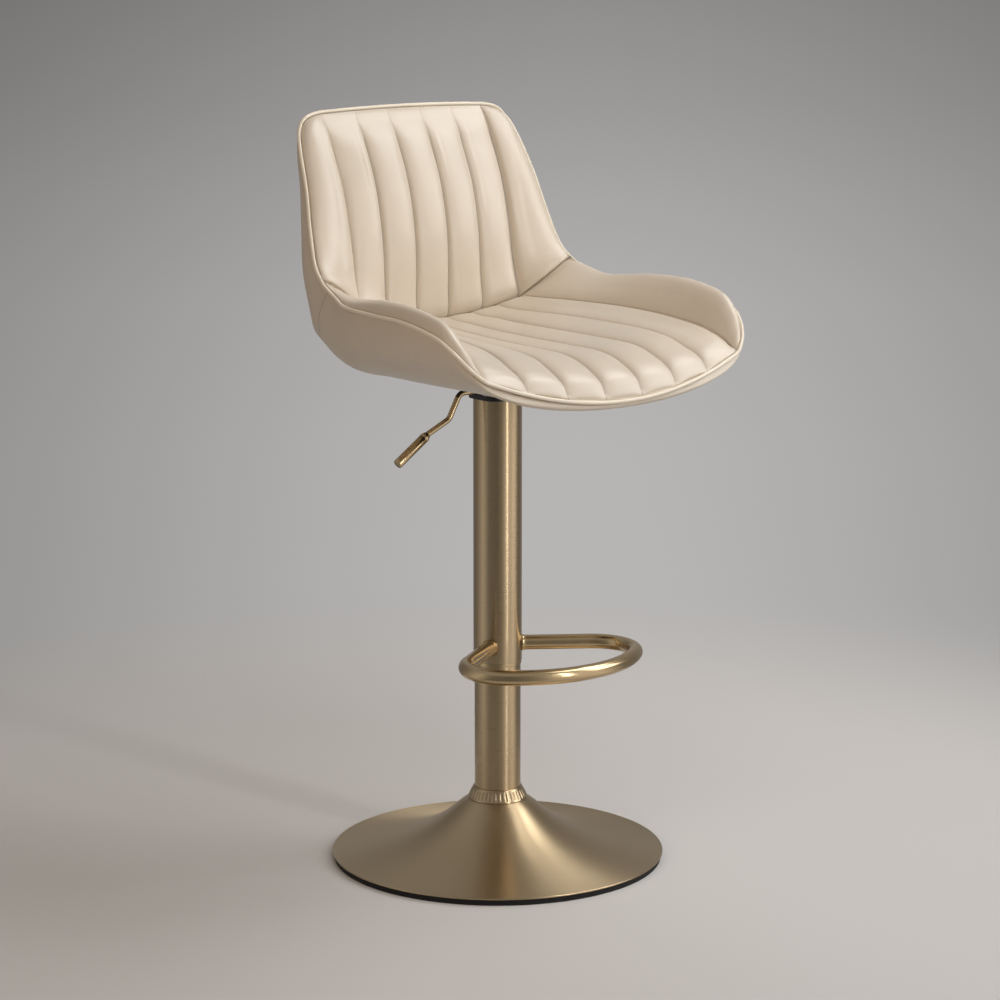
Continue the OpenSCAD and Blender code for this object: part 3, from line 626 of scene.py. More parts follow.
def swept_tube(path, radii, sides, closed=False, up=(0, 0, 1)):
    """Points and faces of a round tube along a path that keeps near a plane."""
    path = np.asarray(path, float)
    if closed:
        way = np.roll(path, -1, 0) - np.roll(path, 1, 0)
    else:
        way = np.gradient(path, axis=0)
    way /= np.linalg.norm(way, axis=1, keepdims=True)
    aside = np.cross(way, np.asarray(up, float))
    aside /= np.linalg.norm(aside, axis=1, keepdims=True)
    raised = np.cross(aside, way)
    w = turns(sides)[None, :, None]
    radii = np.broadcast_to(np.asarray(radii, float), len(path))[:, None, None]
    rings = path[:, None] + radii * (np.cos(w) * aside[:, None] + np.sin(w) * raised[:, None])
    if closed:
        faces = grid_faces(len(path), sides, closed_rows=True, closed_columns=True)
    else:
        faces = capped_tube_faces(len(path), sides)
    return rings.reshape(-1, 3), faces


# --------------------------------------------------------- the seat's shape
# The seat is a loft through 16 stations that run from the back's top edge, down to the
# crease and forward to the front edge. Millimetres, with heights above the seat plate.
# It is the loft of the CAD's own seat, with the padding's seam and fullness as they show.

CREASE = 6
LAST = 15
SEAM_SHARE = 0.72
MIDDLE = np.array(
    [
        [188, 310], [181, 297], [161, 271], [139, 223], [127, 168], [122, 116],
        [123, 61], [90, 56], [40, 52], [-40, 50], [-110, 50], [-165, 50],
        [-200, 46], [-221, 34], [-231, 16], [-234, 4],
    ],
    float,
)  # fmt: skip
SEAM = np.array(
    [
        [118, 190, 307], [119, 180, 295], [120, 160, 268], [120, 140, 220],
        [120, 128, 166], [120, 118, 119], [121, 106, 81], [127, 78, 82], [138, 32, 83],
        [157, -40, 82], [169, -105, 78], [178, -160, 70], [183, -189, 60],
        [184, -202, 52], [184, -211, 46], [184, -217, 40],
    ],
    float,
)  # fmt: skip
RIM = np.array(
    [
        [151, 184, 294], [158, 177, 282], [164, 164, 258], [170, 145, 220],
        [177, 128, 174], [183, 110, 136], [188, 86, 116], [196, 52, 106], [205, 18, 99],
        [214, -50, 98], [218, -110, 97], [216, -165, 87], [211, -189, 74],
        [203, -203, 60], [197, -209, 52], [190, -214, 45],
    ],
    float,
)  # fmt: skip
UNDER = np.array(
    [
        [188, 310], [202, 286], [205, 262], [196, 219], [188, 175], [182, 120],
        [161, 35], [106, 3], [50, 0], [-40, 0], [-110, 0], [-165, -1], [-203, -3],
        [-222, -5], [-231, -3], [-234, 4],
    ],
    float,
)  # fmt: skip
# Degrees that the padding faces upwards and that its edge turns, how full it bulges over
# the seam, and how square the outer cover's arch is, at each station
FACING = [0, 0, 0, 0, 5, 20, 45, 70, 85, 90, 90, 90, 90, 90, 90, 90]
EDGE_TURN = [45, 25, 8, 0, 0, 0, 0, 0, 0, 0, 0, -8, -15, -25, -35, -45]
BULGE = [0, 3, 4, 4, 4, 5, 9, 16, 22, 35, 38, 37, 24, 12, 4, 0]
SQUARENESS = [4, 5.5, 6.5, 7, 7.5, 7.5, 6.2, 4.6, 3.6, 3.2, 2.9, 2.6, 2.4, 2.2, 2, 2]
CORNER_ARCH = 9
# How thick the edge is at the piping, and how far in from the piping it stands
EDGE_T = 5.2
EDGE_IN = 2.3
# The shell's thickness, and the most of the whole thickness that it takes
SHELL_DEPTH = 12.0
SHELL_SHARE = 0.65
# Stations over which the padding rolls down to the top and front edges
EDGE_FADE = 0.8
# How far the crease's seam climbs the edge, and the station of the cover's cross seam
SEAM_RISE = 0.3
COVER_SEAM = 6.6
# A pad reaches its full swell this far in from its edges
EASE_IN = 60
CLOTH_FRAMES = 20


def ease(x, low, high):
    """0 below low, 1 above high and a smooth rise between them."""
    t = np.clip((x - low) / (high - low), 0, 1)
    return t * t * (3 - 2 * t)


def peak(x, reach):
    """1 where x is 0, falling away to both sides over about that reach."""
    return np.exp(-((x / reach) ** 2))


def smooth(rows, v):
    """Curve through a list's rows at station v, with a corner at the crease."""
    rows = np.asarray(rows, float)
    rows = rows.reshape(len(rows), -1)
    v = np.asarray(v, float)
    i = np.clip(np.floor(v).astype(int), 0, LAST - 1)
    t = (v - i)[..., None]
    here, there = rows[i], rows[i + 1]
    starts = ((i == 0) | (i == CREASE))[..., None]
    ends = ((i + 1 == LAST) | (i + 1 == CREASE))[..., None]
    before = np.where(starts, 2 * here - there, rows[np.maximum(i - 1, 0)])
    after = np.where(ends, 2 * there - here, rows[np.minimum(i + 2, LAST)])
    return 0.5 * (
        2 * here
        + (there - before) * t
        + (2 * before - 5 * here + 4 * there - after) * t**2
        + (3 * here - before - 3 * there + after) * t**3
    )


def face_dir(v):
    """The direction that the padding faces at station v."""
    a = np.radians(smooth(FACING, v)[..., 0])
    return np.stack([0 * a, -np.cos(a), np.sin(a)], -1)


def edge_dir(v, turned):
    """The edge's outward direction at station v, turned by that angle."""
    a, t = np.radians(smooth(FACING, v)[..., 0]), np.radians(turned)
    return np.stack([np.cos(t), np.sin(t) * np.sin(a), np.sin(t) * np.cos(a)], -1)


def edge_turn_at(v, u):
    """How far the edge's direction is turned; it swings into the corners."""
    corner = smooth(EDGE_TURN, v)[..., 0]
    t = np.clip((u - SEAM_SHARE) / (1 - SEAM_SHARE), 0, 1)
    top, front = 90 - (90 - corner) * t, -90 + (90 + corner) * t
    return np.where(u >= 1, corner, np.where(v < CREASE, top, front))


def across(v, u, side):
    """The line across the seat at station v, from the middle to a point of its side."""
    middle = smooth(MIDDLE, v)
    middle = np.concatenate([0 * middle[..., :1], middle], -1)
    seam = smooth(SEAM, v)
    s = np.minimum(u / SEAM_SHARE, 1)[..., None]
    inner = middle + (seam - middle) * np.concatenate([s, s * s, s * s], -1)
    t = np.clip((u - SEAM_SHARE) / (1 - SEAM_SHARE), 0, 1)[..., None]
    arch = CORNER_ARCH * np.clip(1 - np.asarray(v, float) / 2, 0, 1)
    pull = side + 0.2 * (seam - side) + smooth(BULGE, v) * face_dir(v)
    pull = pull + np.stack([0 * arch, 0 * arch, arch], -1)
    return np.where(t > 0, curve(seam, pull, side, t), inner)


def piping_at(v, u):
    """The piping's centre line, which the padding and the outer cover meet."""
    return across(v, u, smooth(RIM, v))


def lip(v, u, side):
    """Where the padding (side 1) or the outer cover (side -1) meets the piping."""
    return (
        piping_at(v, u)
        + side * EDGE_T / 2 * face_dir(v)
        - EDGE_IN * edge_dir(v, edge_turn_at(v, u))
    )


def edge_share(v):
    """1 on the top and front edges, fading out a little way in."""
    near = np.minimum(v, LAST - v) / EDGE_FADE
    return np.clip(1 - near, 0, 1)[..., None] ** 2


def padded(v, u):
    """Padded surface; it rolls down to the piping along the top and front edges."""
    v, u = np.broadcast_arrays(np.asarray(v, float), np.asarray(u, float))
    edge = np.where(v < CREASE, 0.0, float(LAST))
    ones = np.ones_like(u)
    rolled = lip(edge, u, 1) - across(edge, u, lip(edge, ones, 1))
    return across(v, u, lip(v, ones, 1)) + edge_share(v) * rolled


def outer(v, t):
    """Outer surface at a share t of the half width: a squarish arch."""
    v, t = np.broadcast_arrays(np.asarray(v, float), np.asarray(t, float))

    def arch(at):
        side = lip(at, np.ones_like(t), -1)
        under = smooth(UNDER, at)
        f = 1 - np.sqrt(np.clip(1 - t ** smooth(SQUARENESS, at)[..., 0], 0, 1))
        return np.stack(
            [
                side[..., 0] * t,
                under[..., 0] + (side[..., 1] - under[..., 0]) * f,
                under[..., 1] + (side[..., 2] - under[..., 1]) * f,
            ],
            -1,
        )

    edge = np.where(v < CREASE, 0.0, float(LAST))
    at_edge = arch(edge)
    share = np.linspace(0, 1, 400)
    wanted = np.empty_like(at_edge)
    for end in (0.0, float(LAST)):
        row = lip(np.full_like(share, end), share, -1)
        x = at_edge[..., 0]
        found = np.stack([np.interp(x, row[:, 0], row[:, k]) for k in range(3)], -1)
        wanted = np.where((edge == end)[..., None], found, wanted)
    return arch(v) + edge_share(v) * (wanted - at_edge)


def outer_under(v, u, pad):
    """The outer surface's point that lies under a point of the padding."""
    side_x = lip(np.asarray(v, float), np.ones_like(u), -1)[..., 0]
    return outer(v, np.clip(pad[..., 0] / side_x, 0, 1))


def unit(a):
    """The vectors at a length of one."""
    return a / np.maximum(np.linalg.norm(a, axis=-1, keepdims=True), 1e-9)


def lengths(points, axis):
    """Distance along the grid's lines in that direction, from their start."""
    steps = np.linalg.norm(np.diff(points, axis=axis), axis=-1)
    shape = list(points.shape[:2])
    shape[axis] = 1
    return np.concatenate([np.zeros(shape), np.cumsum(steps, axis=axis)], axis=axis)


def fine_steps(low, high, step, seams, near):
    """Even steps from low to high, with the seams and extra lines close beside them."""
    even = np.linspace(low, high, max(2, int(round((high - low) / step)) + 1))
    extra = [s + side * d for s in seams for side in (-1, 1) for d in near]
    keep = [e for e in even if all(abs(e - s) > near[-1] for s in seams)]
    made = np.array(sorted(set(keep + [low, high] + [e for e in extra if low < e < high])))
    return made[np.concatenate([[True], np.diff(made) > 1e-4])]


# Extra lines beside the seams, as shares of the half width and in stations
NEAR_SEAM = (0.0, 0.004, 0.009, 0.016, 0.026, 0.042, 0.06)
NEAR_WING_SEAM = (0, 0.003, 0.007, 0.012, 0.019, 0.028)
BACK_STATIONS = fine_steps(0, CREASE, 0.085, [0, CREASE], (0, 0.01, 0.025, 0.045, 0.075))
SEAT_STATIONS = fine_steps(CREASE, LAST, 0.1, [CREASE, LAST], (0, 0.012, 0.03, 0.05, 0.08))
BACK_SEAMS = [-SEAM_SHARE, -0.432, -0.144, 0.144, 0.432, SEAM_SHARE]
SEAT_SEAMS = [-SEAM_SHARE, -0.514, -0.309, -0.103, 0.103, 0.309, 0.514, SEAM_SHARE]


def place_halves(points, side):
    """Mirrors the points on the negative side and lifts them all onto the seat plate."""
    points[..., 0] *= np.where(side < 0, -1, 1)
    points[..., 2] += PLATE_TOP


def pad_grid(vs, us):
    """The padding's stations, shares of the half width, top and underside."""
    v, u = np.meshgrid(vs, us, indexing="ij")
    v = v - SEAM_RISE * ease(abs(u), SEAM_SHARE, 1) * peak(v - CREASE, 0.8)
    top = padded(v, abs(u))
    cover = outer_under(v, abs(u), top)
    thick = np.linalg.norm(top - cover, axis=-1)
    shell = np.minimum(SHELL_DEPTH / np.maximum(thick, 1e-6), SHELL_SHARE)[..., None]
    under = cover + (top - cover) * shell
    place_halves(top, u)
    place_halves(under, u)
    return v, u, top, under


def pillow(distance, width, height, sharp=3.2):
    """Height of a channel: full in its middle and nothing at its two seams."""
    t = np.clip(2 * distance / width, 0, 1)
    return height * (1 - (1 - t) ** sharp)


def fold(distance, depth, reach):
    """A rounded border that drops to that depth over the given reach, steep but not upright."""
    t = np.clip(1 - distance / reach, 0, 1)
    return -depth * (1 - np.sqrt(1 - t * t * 0.98))


def roll(distance, reach):
    """A border that rises steeply from its edge and levels out at 1."""
    t = np.clip(distance / reach, 0, 1)
    return np.sqrt(1 - (1 - t) ** 2)


def search_tree(points):
    """The points, ready to find those nearest to a place."""
    tree = KDTree(len(points))
    for k, p in enumerate(points):
        tree.insert(p, k)
    tree.balance()
    return tree


def average(tree, values, at, count, reach):
    """The values at the tree's points, averaged over the nearest ones to each place."""
    out = np.zeros((len(at), 3))
    for k, p in enumerate(at):
        found = tree.find_n(p, count)
        weights = np.exp([-((d / reach) ** 2) for _, _, d in found]) + 1e-6
        out[k] = weights @ values[[n for _, n, _ in found]] / weights.sum()
    return out


def swell(top, under, cap):
    """Blows a pad up as cloth under pressure; returns how far its top's points move."""
    scene = bpy.context.scene
    sizes = scene.stool_sizes
    soft = mesh_piece("pad_under_pressure", *closed_sheet(top, under))
    cells = soft.modifiers.new("Cells", "REMESH")
    cells.mode = "VOXEL"
    cells.voxel_size = sizes.voxel
    graph = bpy.context.evaluated_depsgraph_get()
    mesh = bpy.data.meshes.new_from_object(soft.evaluated_get(graph))
    soft.modifiers.clear()
    soft.data = mesh
    rest = np.array([p.co for p in mesh.vertices]) / MM
    # Only the top is loose, away from its edges; the rest is held by the shell
    free = search_tree(top[2:-2, 2:-2].reshape(-1, 3))
    loose = np.array([free.find(p)[2] <= 0.9 * sizes.voxel / MM for p in rest])
    held = soft.vertex_groups.new(name="held")
    held.add([int(k) for k in np.where(~loose)[0]], 1.0, "ADD")
    cloth = soft.modifiers.new("Cloth", "CLOTH")
    cloth.settings.use_pressure = True
    cloth.settings.uniform_pressure_force = sizes.pressure
    cloth.settings.vertex_group_mass = "held"
    cloth.settings.effector_weights.gravity = 0
    for number in range(1, CLOTH_FRAMES + 1):
        scene.frame_set(number)
    blown = soft.evaluated_get(bpy.context.evaluated_depsgraph_get())
    moved = np.array([p.co for p in blown.data.vertices]) / MM - rest
    scene.frame_set(1)
    bpy.data.objects.remove(soft)
    far = np.linalg.norm(moved, axis=1, keepdims=True)
    moved *= cap / np.maximum(cap, far)
    # Averaged twice, so that the cells of the cloth don't show in the pad
    rest, moved = rest[loose], moved[loose]
    tree = search_tree(rest)
    even = average(tree, moved, rest, count=48, reach=14)
    return average(tree, even, top.reshape(-1, 3), count=12, reach=7).reshape(top.shape)


def build_pad(name, vs, us, relief, seam_fields):
    """A pad: its loft is blown up, and then its seams and channels are drawn in."""
    cap = bpy.context.scene.stool_sizes.swell_cap / MM
    v, u, top, under = pad_grid(vs, us)
    depth = np.linalg.norm(top - under, axis=-1)
    out = unit(top - under)
    inset = np.minimum(0.5 * cap, 0.25 * depth)
    moved = swell(top - inset[..., None] * out, under, cap)
    grown = soften(np.sum(moved * out, -1), times=14) - inset
    run, down = lengths(top, 1), lengths(top, 0)
    from_sides = np.minimum(run, run[:, -1:] - run)
    from_ends = np.minimum(down, down[-1:] - down)
    grown = grown * ease(np.minimum(from_sides, from_ends), 0, EASE_IN)
    lift = np.maximum(grown + relief(v, u, top), -0.6 * depth)
    shown = top + lift[..., None] * out
    at_rim = abs(us) >= 1
    shown[:, at_rim] = top[:, at_rim]
    piece = mesh_piece(name, *closed_sheet(shown, under))
    mark_seams(piece, **seam_fields(shown))
    return piece


def soften(grid, times):
    """The grid of heights, averaged with its neighbours that many times."""
    for _ in range(times):
        wide = np.pad(grid, 1, mode="edge")
        grid = 0.5 * grid + 0.125 * (
            wide[:-2, 1:-1] + wide[2:, 1:-1] + wide[1:-1, :-2] + wide[1:-1, 2:]
        )
    return grid


def seam_places(points, us, seams):
    """Distances along the grid's rows, and those at which each row crosses the seams."""
    run = lengths(points, 1)
    return run, np.array([np.interp(seams, us, row) for row in run])


def from_seams(points, us, seams):
    """Distance of each grid point from the nearest seam along its row, in millimetres."""
    run, at = seam_places(points, us, seams)
    return abs(run[:, :, None] - at[:, None, :]).min(-1)


def channels(points, us, seams, height):
    """Height of the channels between neighbouring seams."""
    _, at = seam_places(points, us, seams)
    which = np.clip(np.searchsorted(seams, us, side="right") - 1, 0, len(seams) - 2)
    return pillow(from_seams(points, us, seams), np.diff(at, axis=1)[:, which], height)


class STOOL_OT_back_pad(Operator):
    """Back pad: five upright channels between two plain side panels"""

    bl_idname = "stool.back_pad"
    bl_label = "Back pad"

    # Millimetres below the top edge in which the channels, and the seams' painted shade and puckers,
    # begin
    channels_begin, marks_begin = (4, 58), (12, 44)
    # Reach of a side panel's rolls from the top edge, the piping and its seam, its slope
    top_roll, rim_roll, seam_roll, slope_reach = 22, 34, 9, 50
    crease_reach, border_reach, stitch_reach = 15, 14, 1.6

    def execute(self, context):
        sizes = context.scene.stool_sizes
        tall, deep = sizes.channel_h / MM, sizes.crease_depth / MM
        us = fine_steps(-1, 1, 0.024, [-1, *BACK_SEAMS, 1], NEAR_SEAM)

        def relief(v, u, top):
            down = lengths(top, 0)
            from_crease = down[-1:] - down
            gaps = from_seams(top, us, BACK_SEAMS)
            rim = from_seams(top, us, [-1, 1])
            # The seams run out under the top edge, and the channels flatten there
            fade = 0.1 + 0.9 * ease(down, *self.channels_begin)
            channel = (channels(top, us, [-1, *BACK_SEAMS, 1], tall) - tall) * fade
            # A side panel is full in its middle, slopes to its seam and rolls to the piping
            slope = 0.45 * (1 - ease(gaps, 0, self.slope_reach)) * roll(gaps, self.seam_roll)
            full = roll(rim, self.rim_roll) * ease(gaps, -4, 42) + slope
            panel = sizes.panel_h / MM * roll(down, self.top_roll) * full
            panel = panel + fold(gaps, 0.6 * tall, self.border_reach) * fade
            shape = np.where(abs(u) <= SEAM_SHARE, channel, panel)
            stitch = sizes.stitch_depth / MM * peak(gaps, self.stitch_reach)
            # The crease is a little shallower below the side panels
            mix = ease(abs(u), SEAM_SHARE - 0.02, SEAM_SHARE + 0.05)
            middle, side = (
                fold(from_crease, depth, self.crease_reach) for depth in (deep, 0.8 * deep)
            )
            return shape - stitch * fade + middle * (1 - mix) + side * mix

        def fields(shown):
            down = lengths(shown, 0)
            from_crease = down[-1:] - down
            gaps = from_seams(shown, us, BACK_SEAMS)
            gaps = gaps + 2.5 * (1 - ease(down, *self.marks_begin))
            # The seams' painted shade also runs along the piping, under the top edge and in the crease
            gaps = np.minimum(gaps, 0.4 + np.minimum(from_seams(shown, us, [-1, 1]), down))
            return {
                "seam_mm": np.minimum(gaps, from_crease),
                "along_mm": np.where(gaps < from_crease, down, lengths(shown, 1)),
            }

        pad = build_pad("back_pad", BACK_STATIONS, us, relief, fields)
        dress(pad, "sewn", "upper", "back_cushion")
        return {"FINISHED"}


class STOOL_OT_seat_pad(Operator):
    """Seat pad: seven channels that spread from the crease to the front edge"""

    bl_idname = "stool.seat_pad"
    bl_label = "Seat pad"

    # Stations between which the channels fill out and flatten, and the wing seams end
    channels_fill, channels_flatten, wing_seams_end = (8, 13), (14.55, 15), (14.2, 15)
    crease_reach, border_reach, stitch_reach = 13, 14, 1.8

    def execute(self, context):
        sizes = context.scene.stool_sizes
        us = fine_steps(-SEAM_SHARE, SEAM_SHARE, 0.02, SEAT_SEAMS, NEAR_SEAM)

        def relief(v, u, top):
            # The channels are fuller towards the front and flatten at the front edge
            tall = sizes.channel_h / MM * (0.7 + 0.55 * ease(v, *self.channels_fill))
            gaps = from_seams(top, us, SEAT_SEAMS)
            stitch = sizes.stitch_depth / MM * peak(gaps, self.stitch_reach)
            channel = channels(top, us, SEAT_SEAMS, tall) - stitch - tall
            wing = from_seams(top, us, [-SEAM_SHARE, SEAM_SHARE])
            border = fold(wing, 0.6 * sizes.wing_seam_depth / MM, self.border_reach)
            return (
                channel * (1 - 0.85 * ease(v, *self.channels_flatten))
                + fold(lengths(top, 0), sizes.crease_depth / MM, self.crease_reach)
                + border * (1 - ease(v, *self.wing_seams_end))
            )

        def fields(shown):
            down = lengths(shown, 0)
            # Painted shade along the seams, the front piping and the crease
            gaps = np.minimum(from_seams(shown, us, SEAT_SEAMS), 0.4 + down[-1:] - down)
            return {
                "seam_mm": np.minimum(gaps, down),
                "along_mm": np.where(gaps < down, down, lengths(shown, 1)),
            }

        pad = build_pad("seat_pad", SEAT_STATIONS, us, relief, fields)
        dress(pad, "sewn", "upper", "seat_cushion")
        return {"FINISHED"}


class STOOL_OT_wing_pads(Operator):
    """Wing pads: the plain raised sides of the bucket"""

    bl_idname = "stool.wing_pads"
    bl_label = "Wing pads"

    # The roll's crown stands this far behind the piping, between these stations
    crown_in, crown_w, crown_rises, crown_falls = 30, 15, (7, 9), (12.5, 15)
    seam_ends = (14.2, 15)
    crease_reach, border_reach = 15, 18

    def execute(self, context):
        half = fine_steps(SEAM_SHARE, 1, 0.011, [SEAM_SHARE, 1], NEAR_WING_SEAM)
        self.wing("wing_pad_right", "wing_right", -half[::-1], -1)
        self.wing("wing_pad_left", "wing_left", half, 1)
        return {"FINISHED"}

    def wing(self, name, node, us, side):
        """One wing, whose shares of the half width are us, on the side 1 or -1."""
        sizes = bpy.context.scene.stool_sizes
        seam, edge = [side * SEAM_SHARE], [side]

        def relief(v, u, top):
            gaps, rim = from_seams(top, us, seam), from_seams(top, us, edge)
            crown = peak(rim - self.crown_in, self.crown_w)
            crown = crown * ease(v, *self.crown_rises) * (1 - ease(v, *self.crown_falls))
            border = fold(gaps, sizes.wing_seam_depth / MM, self.border_reach)
            return (
                sizes.wing_h / MM * crown * ease(gaps, 0, self.crown_in)
                + border * (1 - ease(v, *self.seam_ends))
                + fold(lengths(top, 0), 0.8 * sizes.crease_depth / MM, self.crease_reach)
            )

        def fields(shown):
            down = lengths(shown, 0)
            rim = from_seams(shown, us, edge)
            # Painted shade along the wing seam, the piping and the crease
            gaps = np.minimum(from_seams(shown, us, seam) + 0.5, 0.4 + rim)
            return {
                "seam_mm": np.minimum(gaps, down),
                "along_mm": np.where(gaps < down, down, lengths(shown, 1)),
            }

        pad = build_pad(name, SEAT_STATIONS, us, relief, fields)
        dress(pad, "sewn", "upper", node)


class STOOL_OT_outer_cover(Operator):
    """Outer cover: leather stretched over the back and the underside of the shell"""

    bl_idname = "stool.outer_cover"
    bl_label = "Outer cover"

    thickness = 1.2
    belly_h, belly_w = 4, 60
    # It clears the seat plate by this much, as far round the plate as the margin
    clearance, margin = 0.3, 2

    def execute(self, context):
        near = (0, 0.012, 0.026, 0.045, 0.07)
        vs = fine_steps(0, LAST, 0.11, [0, COVER_SEAM, LAST], near)
        half = 1 - (1 - np.linspace(0, 1, 64)) ** 2
        v, t = np.meshgrid(vs, np.concatenate([-half[:0:-1], half]), indexing="ij")
        climb = 0.1 - 0.4 * ease(abs(t), 0.5, 1)
        v = v + climb * peak(v - COVER_SEAM, 1.1)
        skin = outer(v, abs(t))
        inward = unit(padded(v, abs(t)) - skin)
        run, down = lengths(skin, 1), lengths(skin, 0)
        rim = np.minimum(run, run[:, -1:] - run)
        seam = abs(down - down[np.argmin(abs(vs - COVER_SEAM))])
        belly = np.sin(np.pi * np.clip(rim / self.belly_w, 0, 1)) * ease(v, 4.5, 6.5)
        out = self.belly_h * belly * (1 - ease(v, 9.5, 12)) - peak(seam, 2)
        skin = skin - out[..., None] * inward
        inner = skin + self.thickness * inward
        place_halves(skin, t)
        place_halves(inner, t)
        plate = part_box("seat_plate")[1] / MM
        over_plate = (
            (abs(skin[..., 0]) < plate.x + self.margin)
            & (abs(skin[..., 1]) < plate.y + self.margin)
            & (skin[..., 2] < PLATE_TOP + 40)
        )
        for side, gap in ((skin, self.clearance), (inner, self.clearance + 1)):
            lifted = np.maximum(side[..., 2], PLATE_TOP + gap)
            side[..., 2] = np.where(over_plate, lifted, side[..., 2])
        cover = mesh_piece("outer_cover_leather", *closed_sheet(skin, inner))
        # Painted shade along the cover's seam and in a thin band under the piping
        mark_seams(cover, seam_mm=np.minimum(seam, 0.4 + rim), along_mm=run)
        dress(cover, "sewn", "upper", "outer_cover")
        return {"FINISHED"}


class STOOL_OT_piping(Operator):
    """Piping: one leather-covered cord round the whole edge of the seat"""

    bl_idname = "stool.piping"
    bl_label = "Piping"

    sides, spacing = 14, 2.2

    def execute(self, context):
        share = np.linspace(0, 1, 90)
        station = np.linspace(0, LAST, 320)[1:-1]
        mirror = [-1, 1, 1]
        top, front = (piping_at(np.full_like(share, end), share) for end in (0.0, float(LAST)))
        side = piping_at(station, np.ones_like(station))
        loop = np.concatenate(
            [
                (top * mirror)[:0:-1],
                top,
                side,
                front[::-1],
                (front * mirror)[1:],
                (side * mirror)[::-1],
            ]
        )
        for _ in range(6):
            loop = 0.5 * loop + 0.25 * (np.roll(loop, 1, 0) + np.roll(loop, -1, 0))
        loop = even_path(loop, self.spacing, closed=True)
        loop[:, 2] += PLATE_TOP
        radius = context.scene.stool_sizes.piping_d / MM / 2
        tube = swept_tube(loop, radius, self.sides, closed=True, up=(0.0, -0.6, 0.8))
        dress(mesh_piece("piping_cord", *tube), "piping", "upper", "piping")
        return {"FINISHED"}


def path_lengths(path):
    """Distance along the path to each of its points."""
    return np.concatenate([[0], np.cumsum(np.linalg.norm(np.diff(path, axis=0), axis=1))])


def even_path(path, step, closed=False):
    """The path with its points an even step apart."""
    if closed:
        path = np.concatenate([path, path[:1]])
    run = path_lengths(path)
    count = max(8, int(run[-1] / step))
    at = np.linspace(0, run[-1], count + 1)
    even = np.stack([np.interp(at, run, path[:, k]) for k in range(path.shape[1])], 1)
    return even[:-1] if closed else even


# ---------------------------------------------------------- base and column


def top_of(node):
    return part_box(node)[1].z / MM


def foot_of(node):
    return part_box(node)[0].z / MM


def radius_of(node):
    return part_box(node)[1].x / MM


# How loosely the base's sheet metal fits round the lower tube
FIT = 0.1


class STOOL_OT_base(Operator):
    """Base: the spun trumpet dish with its rolled rim, and the neck ring"""

    bl_idname = "stool.base"
    bl_label = "Base"

    sheet, rolled_r = 2.0, 1.1
    flutes, flute_depth = 36, 0.75

    def execute(self, context):
        column_r = radius_of("lower_column")
        rim_r, neck_z, rim_z = radius_of("base_dish"), top_of("base_dish"), foot_of("base_dish")
        hole_r = column_r + FIT
        # The trumpet is one smooth curve, which leaves the neck steeply and ends level
        start, end = (column_r + 7.95, neck_z), (rim_r - 2, rim_z + self.sheet)
        handles = ((0.3 * rim_r, 0.83 * neck_z), (0.355 * rim_r, 0.3 * neck_z))
        t = np.linspace(0, 1, 72)[:, None]
        ends = [np.array(p) for p in (start, *handles, end)]
        trumpet = (
            (1 - t) ** 3 * ends[0]
            + 3 * (1 - t) ** 2 * t * ends[1]
            + 3 * (1 - t) * t * t * ends[2]
            + t**3 * ends[3]
        )
        way = unit(np.gradient(trumpet, axis=0))
        below = trumpet + self.sheet * np.stack([way[:, 1], -way[:, 0]], 1)
        w = np.radians(np.linspace(80, -80, 9))[:, None]
        rolled = np.array([rim_r - self.rolled_r, rim_z + self.rolled_r])
        rolled = rolled + self.rolled_r * np.concatenate([np.cos(w), np.sin(w)], 1)
        profile = np.concatenate(
            [
                trumpet,
                rolled,
                [[rim_r - 7, rim_z]],
                below[below[:, 0] < rim_r - 8][::-1],
                [[hole_r, neck_z - self.sheet], [hole_r, neck_z]],
            ]
        )
        dish = mesh_piece("trumpet_dish", *lathe(profile, context.scene.stool_sizes.round_steps))
        dress(dish, "dish", "base", "base_dish")
        self.neck_ring(column_r, neck_z)
        return {"FINISHED"}

    def neck_ring(self, column_r, foot_z):
        """A conical collar that hides the weld, with short flutes pressed into its side."""
        height = top_of("neck_ring") - foot_z
        foot_r, top_r, inner_r = column_r + 8.85, column_r + 1.55, column_r + FIT
        z = np.array([0, 0.45, 0.8, 1.2, 2.2, 2.7, 3.2, 7, 10.9, 11.5, 12.1, 13.1, 13.7, 14.1, height])
        slope = foot_r - (foot_r - top_r) * z / height
        # Its foot and its top are rounded over
        slope[:2] -= (0.8, 0.3)
        slope[-2:] -= (0.1, 0.5)
        angle = turns(8 * self.flutes)
        wave = np.clip(np.cos(self.flutes * angle) - 0.35, 0, 1) / 0.65
        pressed = ease(z, 2.2, 3.2) * (1 - ease(z, 10.9, 12.1))
        r = slope[:, None] - self.flute_depth * pressed[:, None] * wave[None]
        r = np.concatenate([r, np.full((2, len(angle)), inner_r)])
        z = np.concatenate([z + foot_z, [height + foot_z, foot_z]])[:, None]
        rows = np.stack([r * np.cos(angle), r * np.sin(angle), np.broadcast_to(z, r.shape)], -1)
        faces = grid_faces(*r.shape, closed_rows=True, closed_columns=True)
        ring = mesh_piece("neck_collar", rows.reshape(-1, 3), faces)
        dress(ring, "tube", "base", "neck_ring")


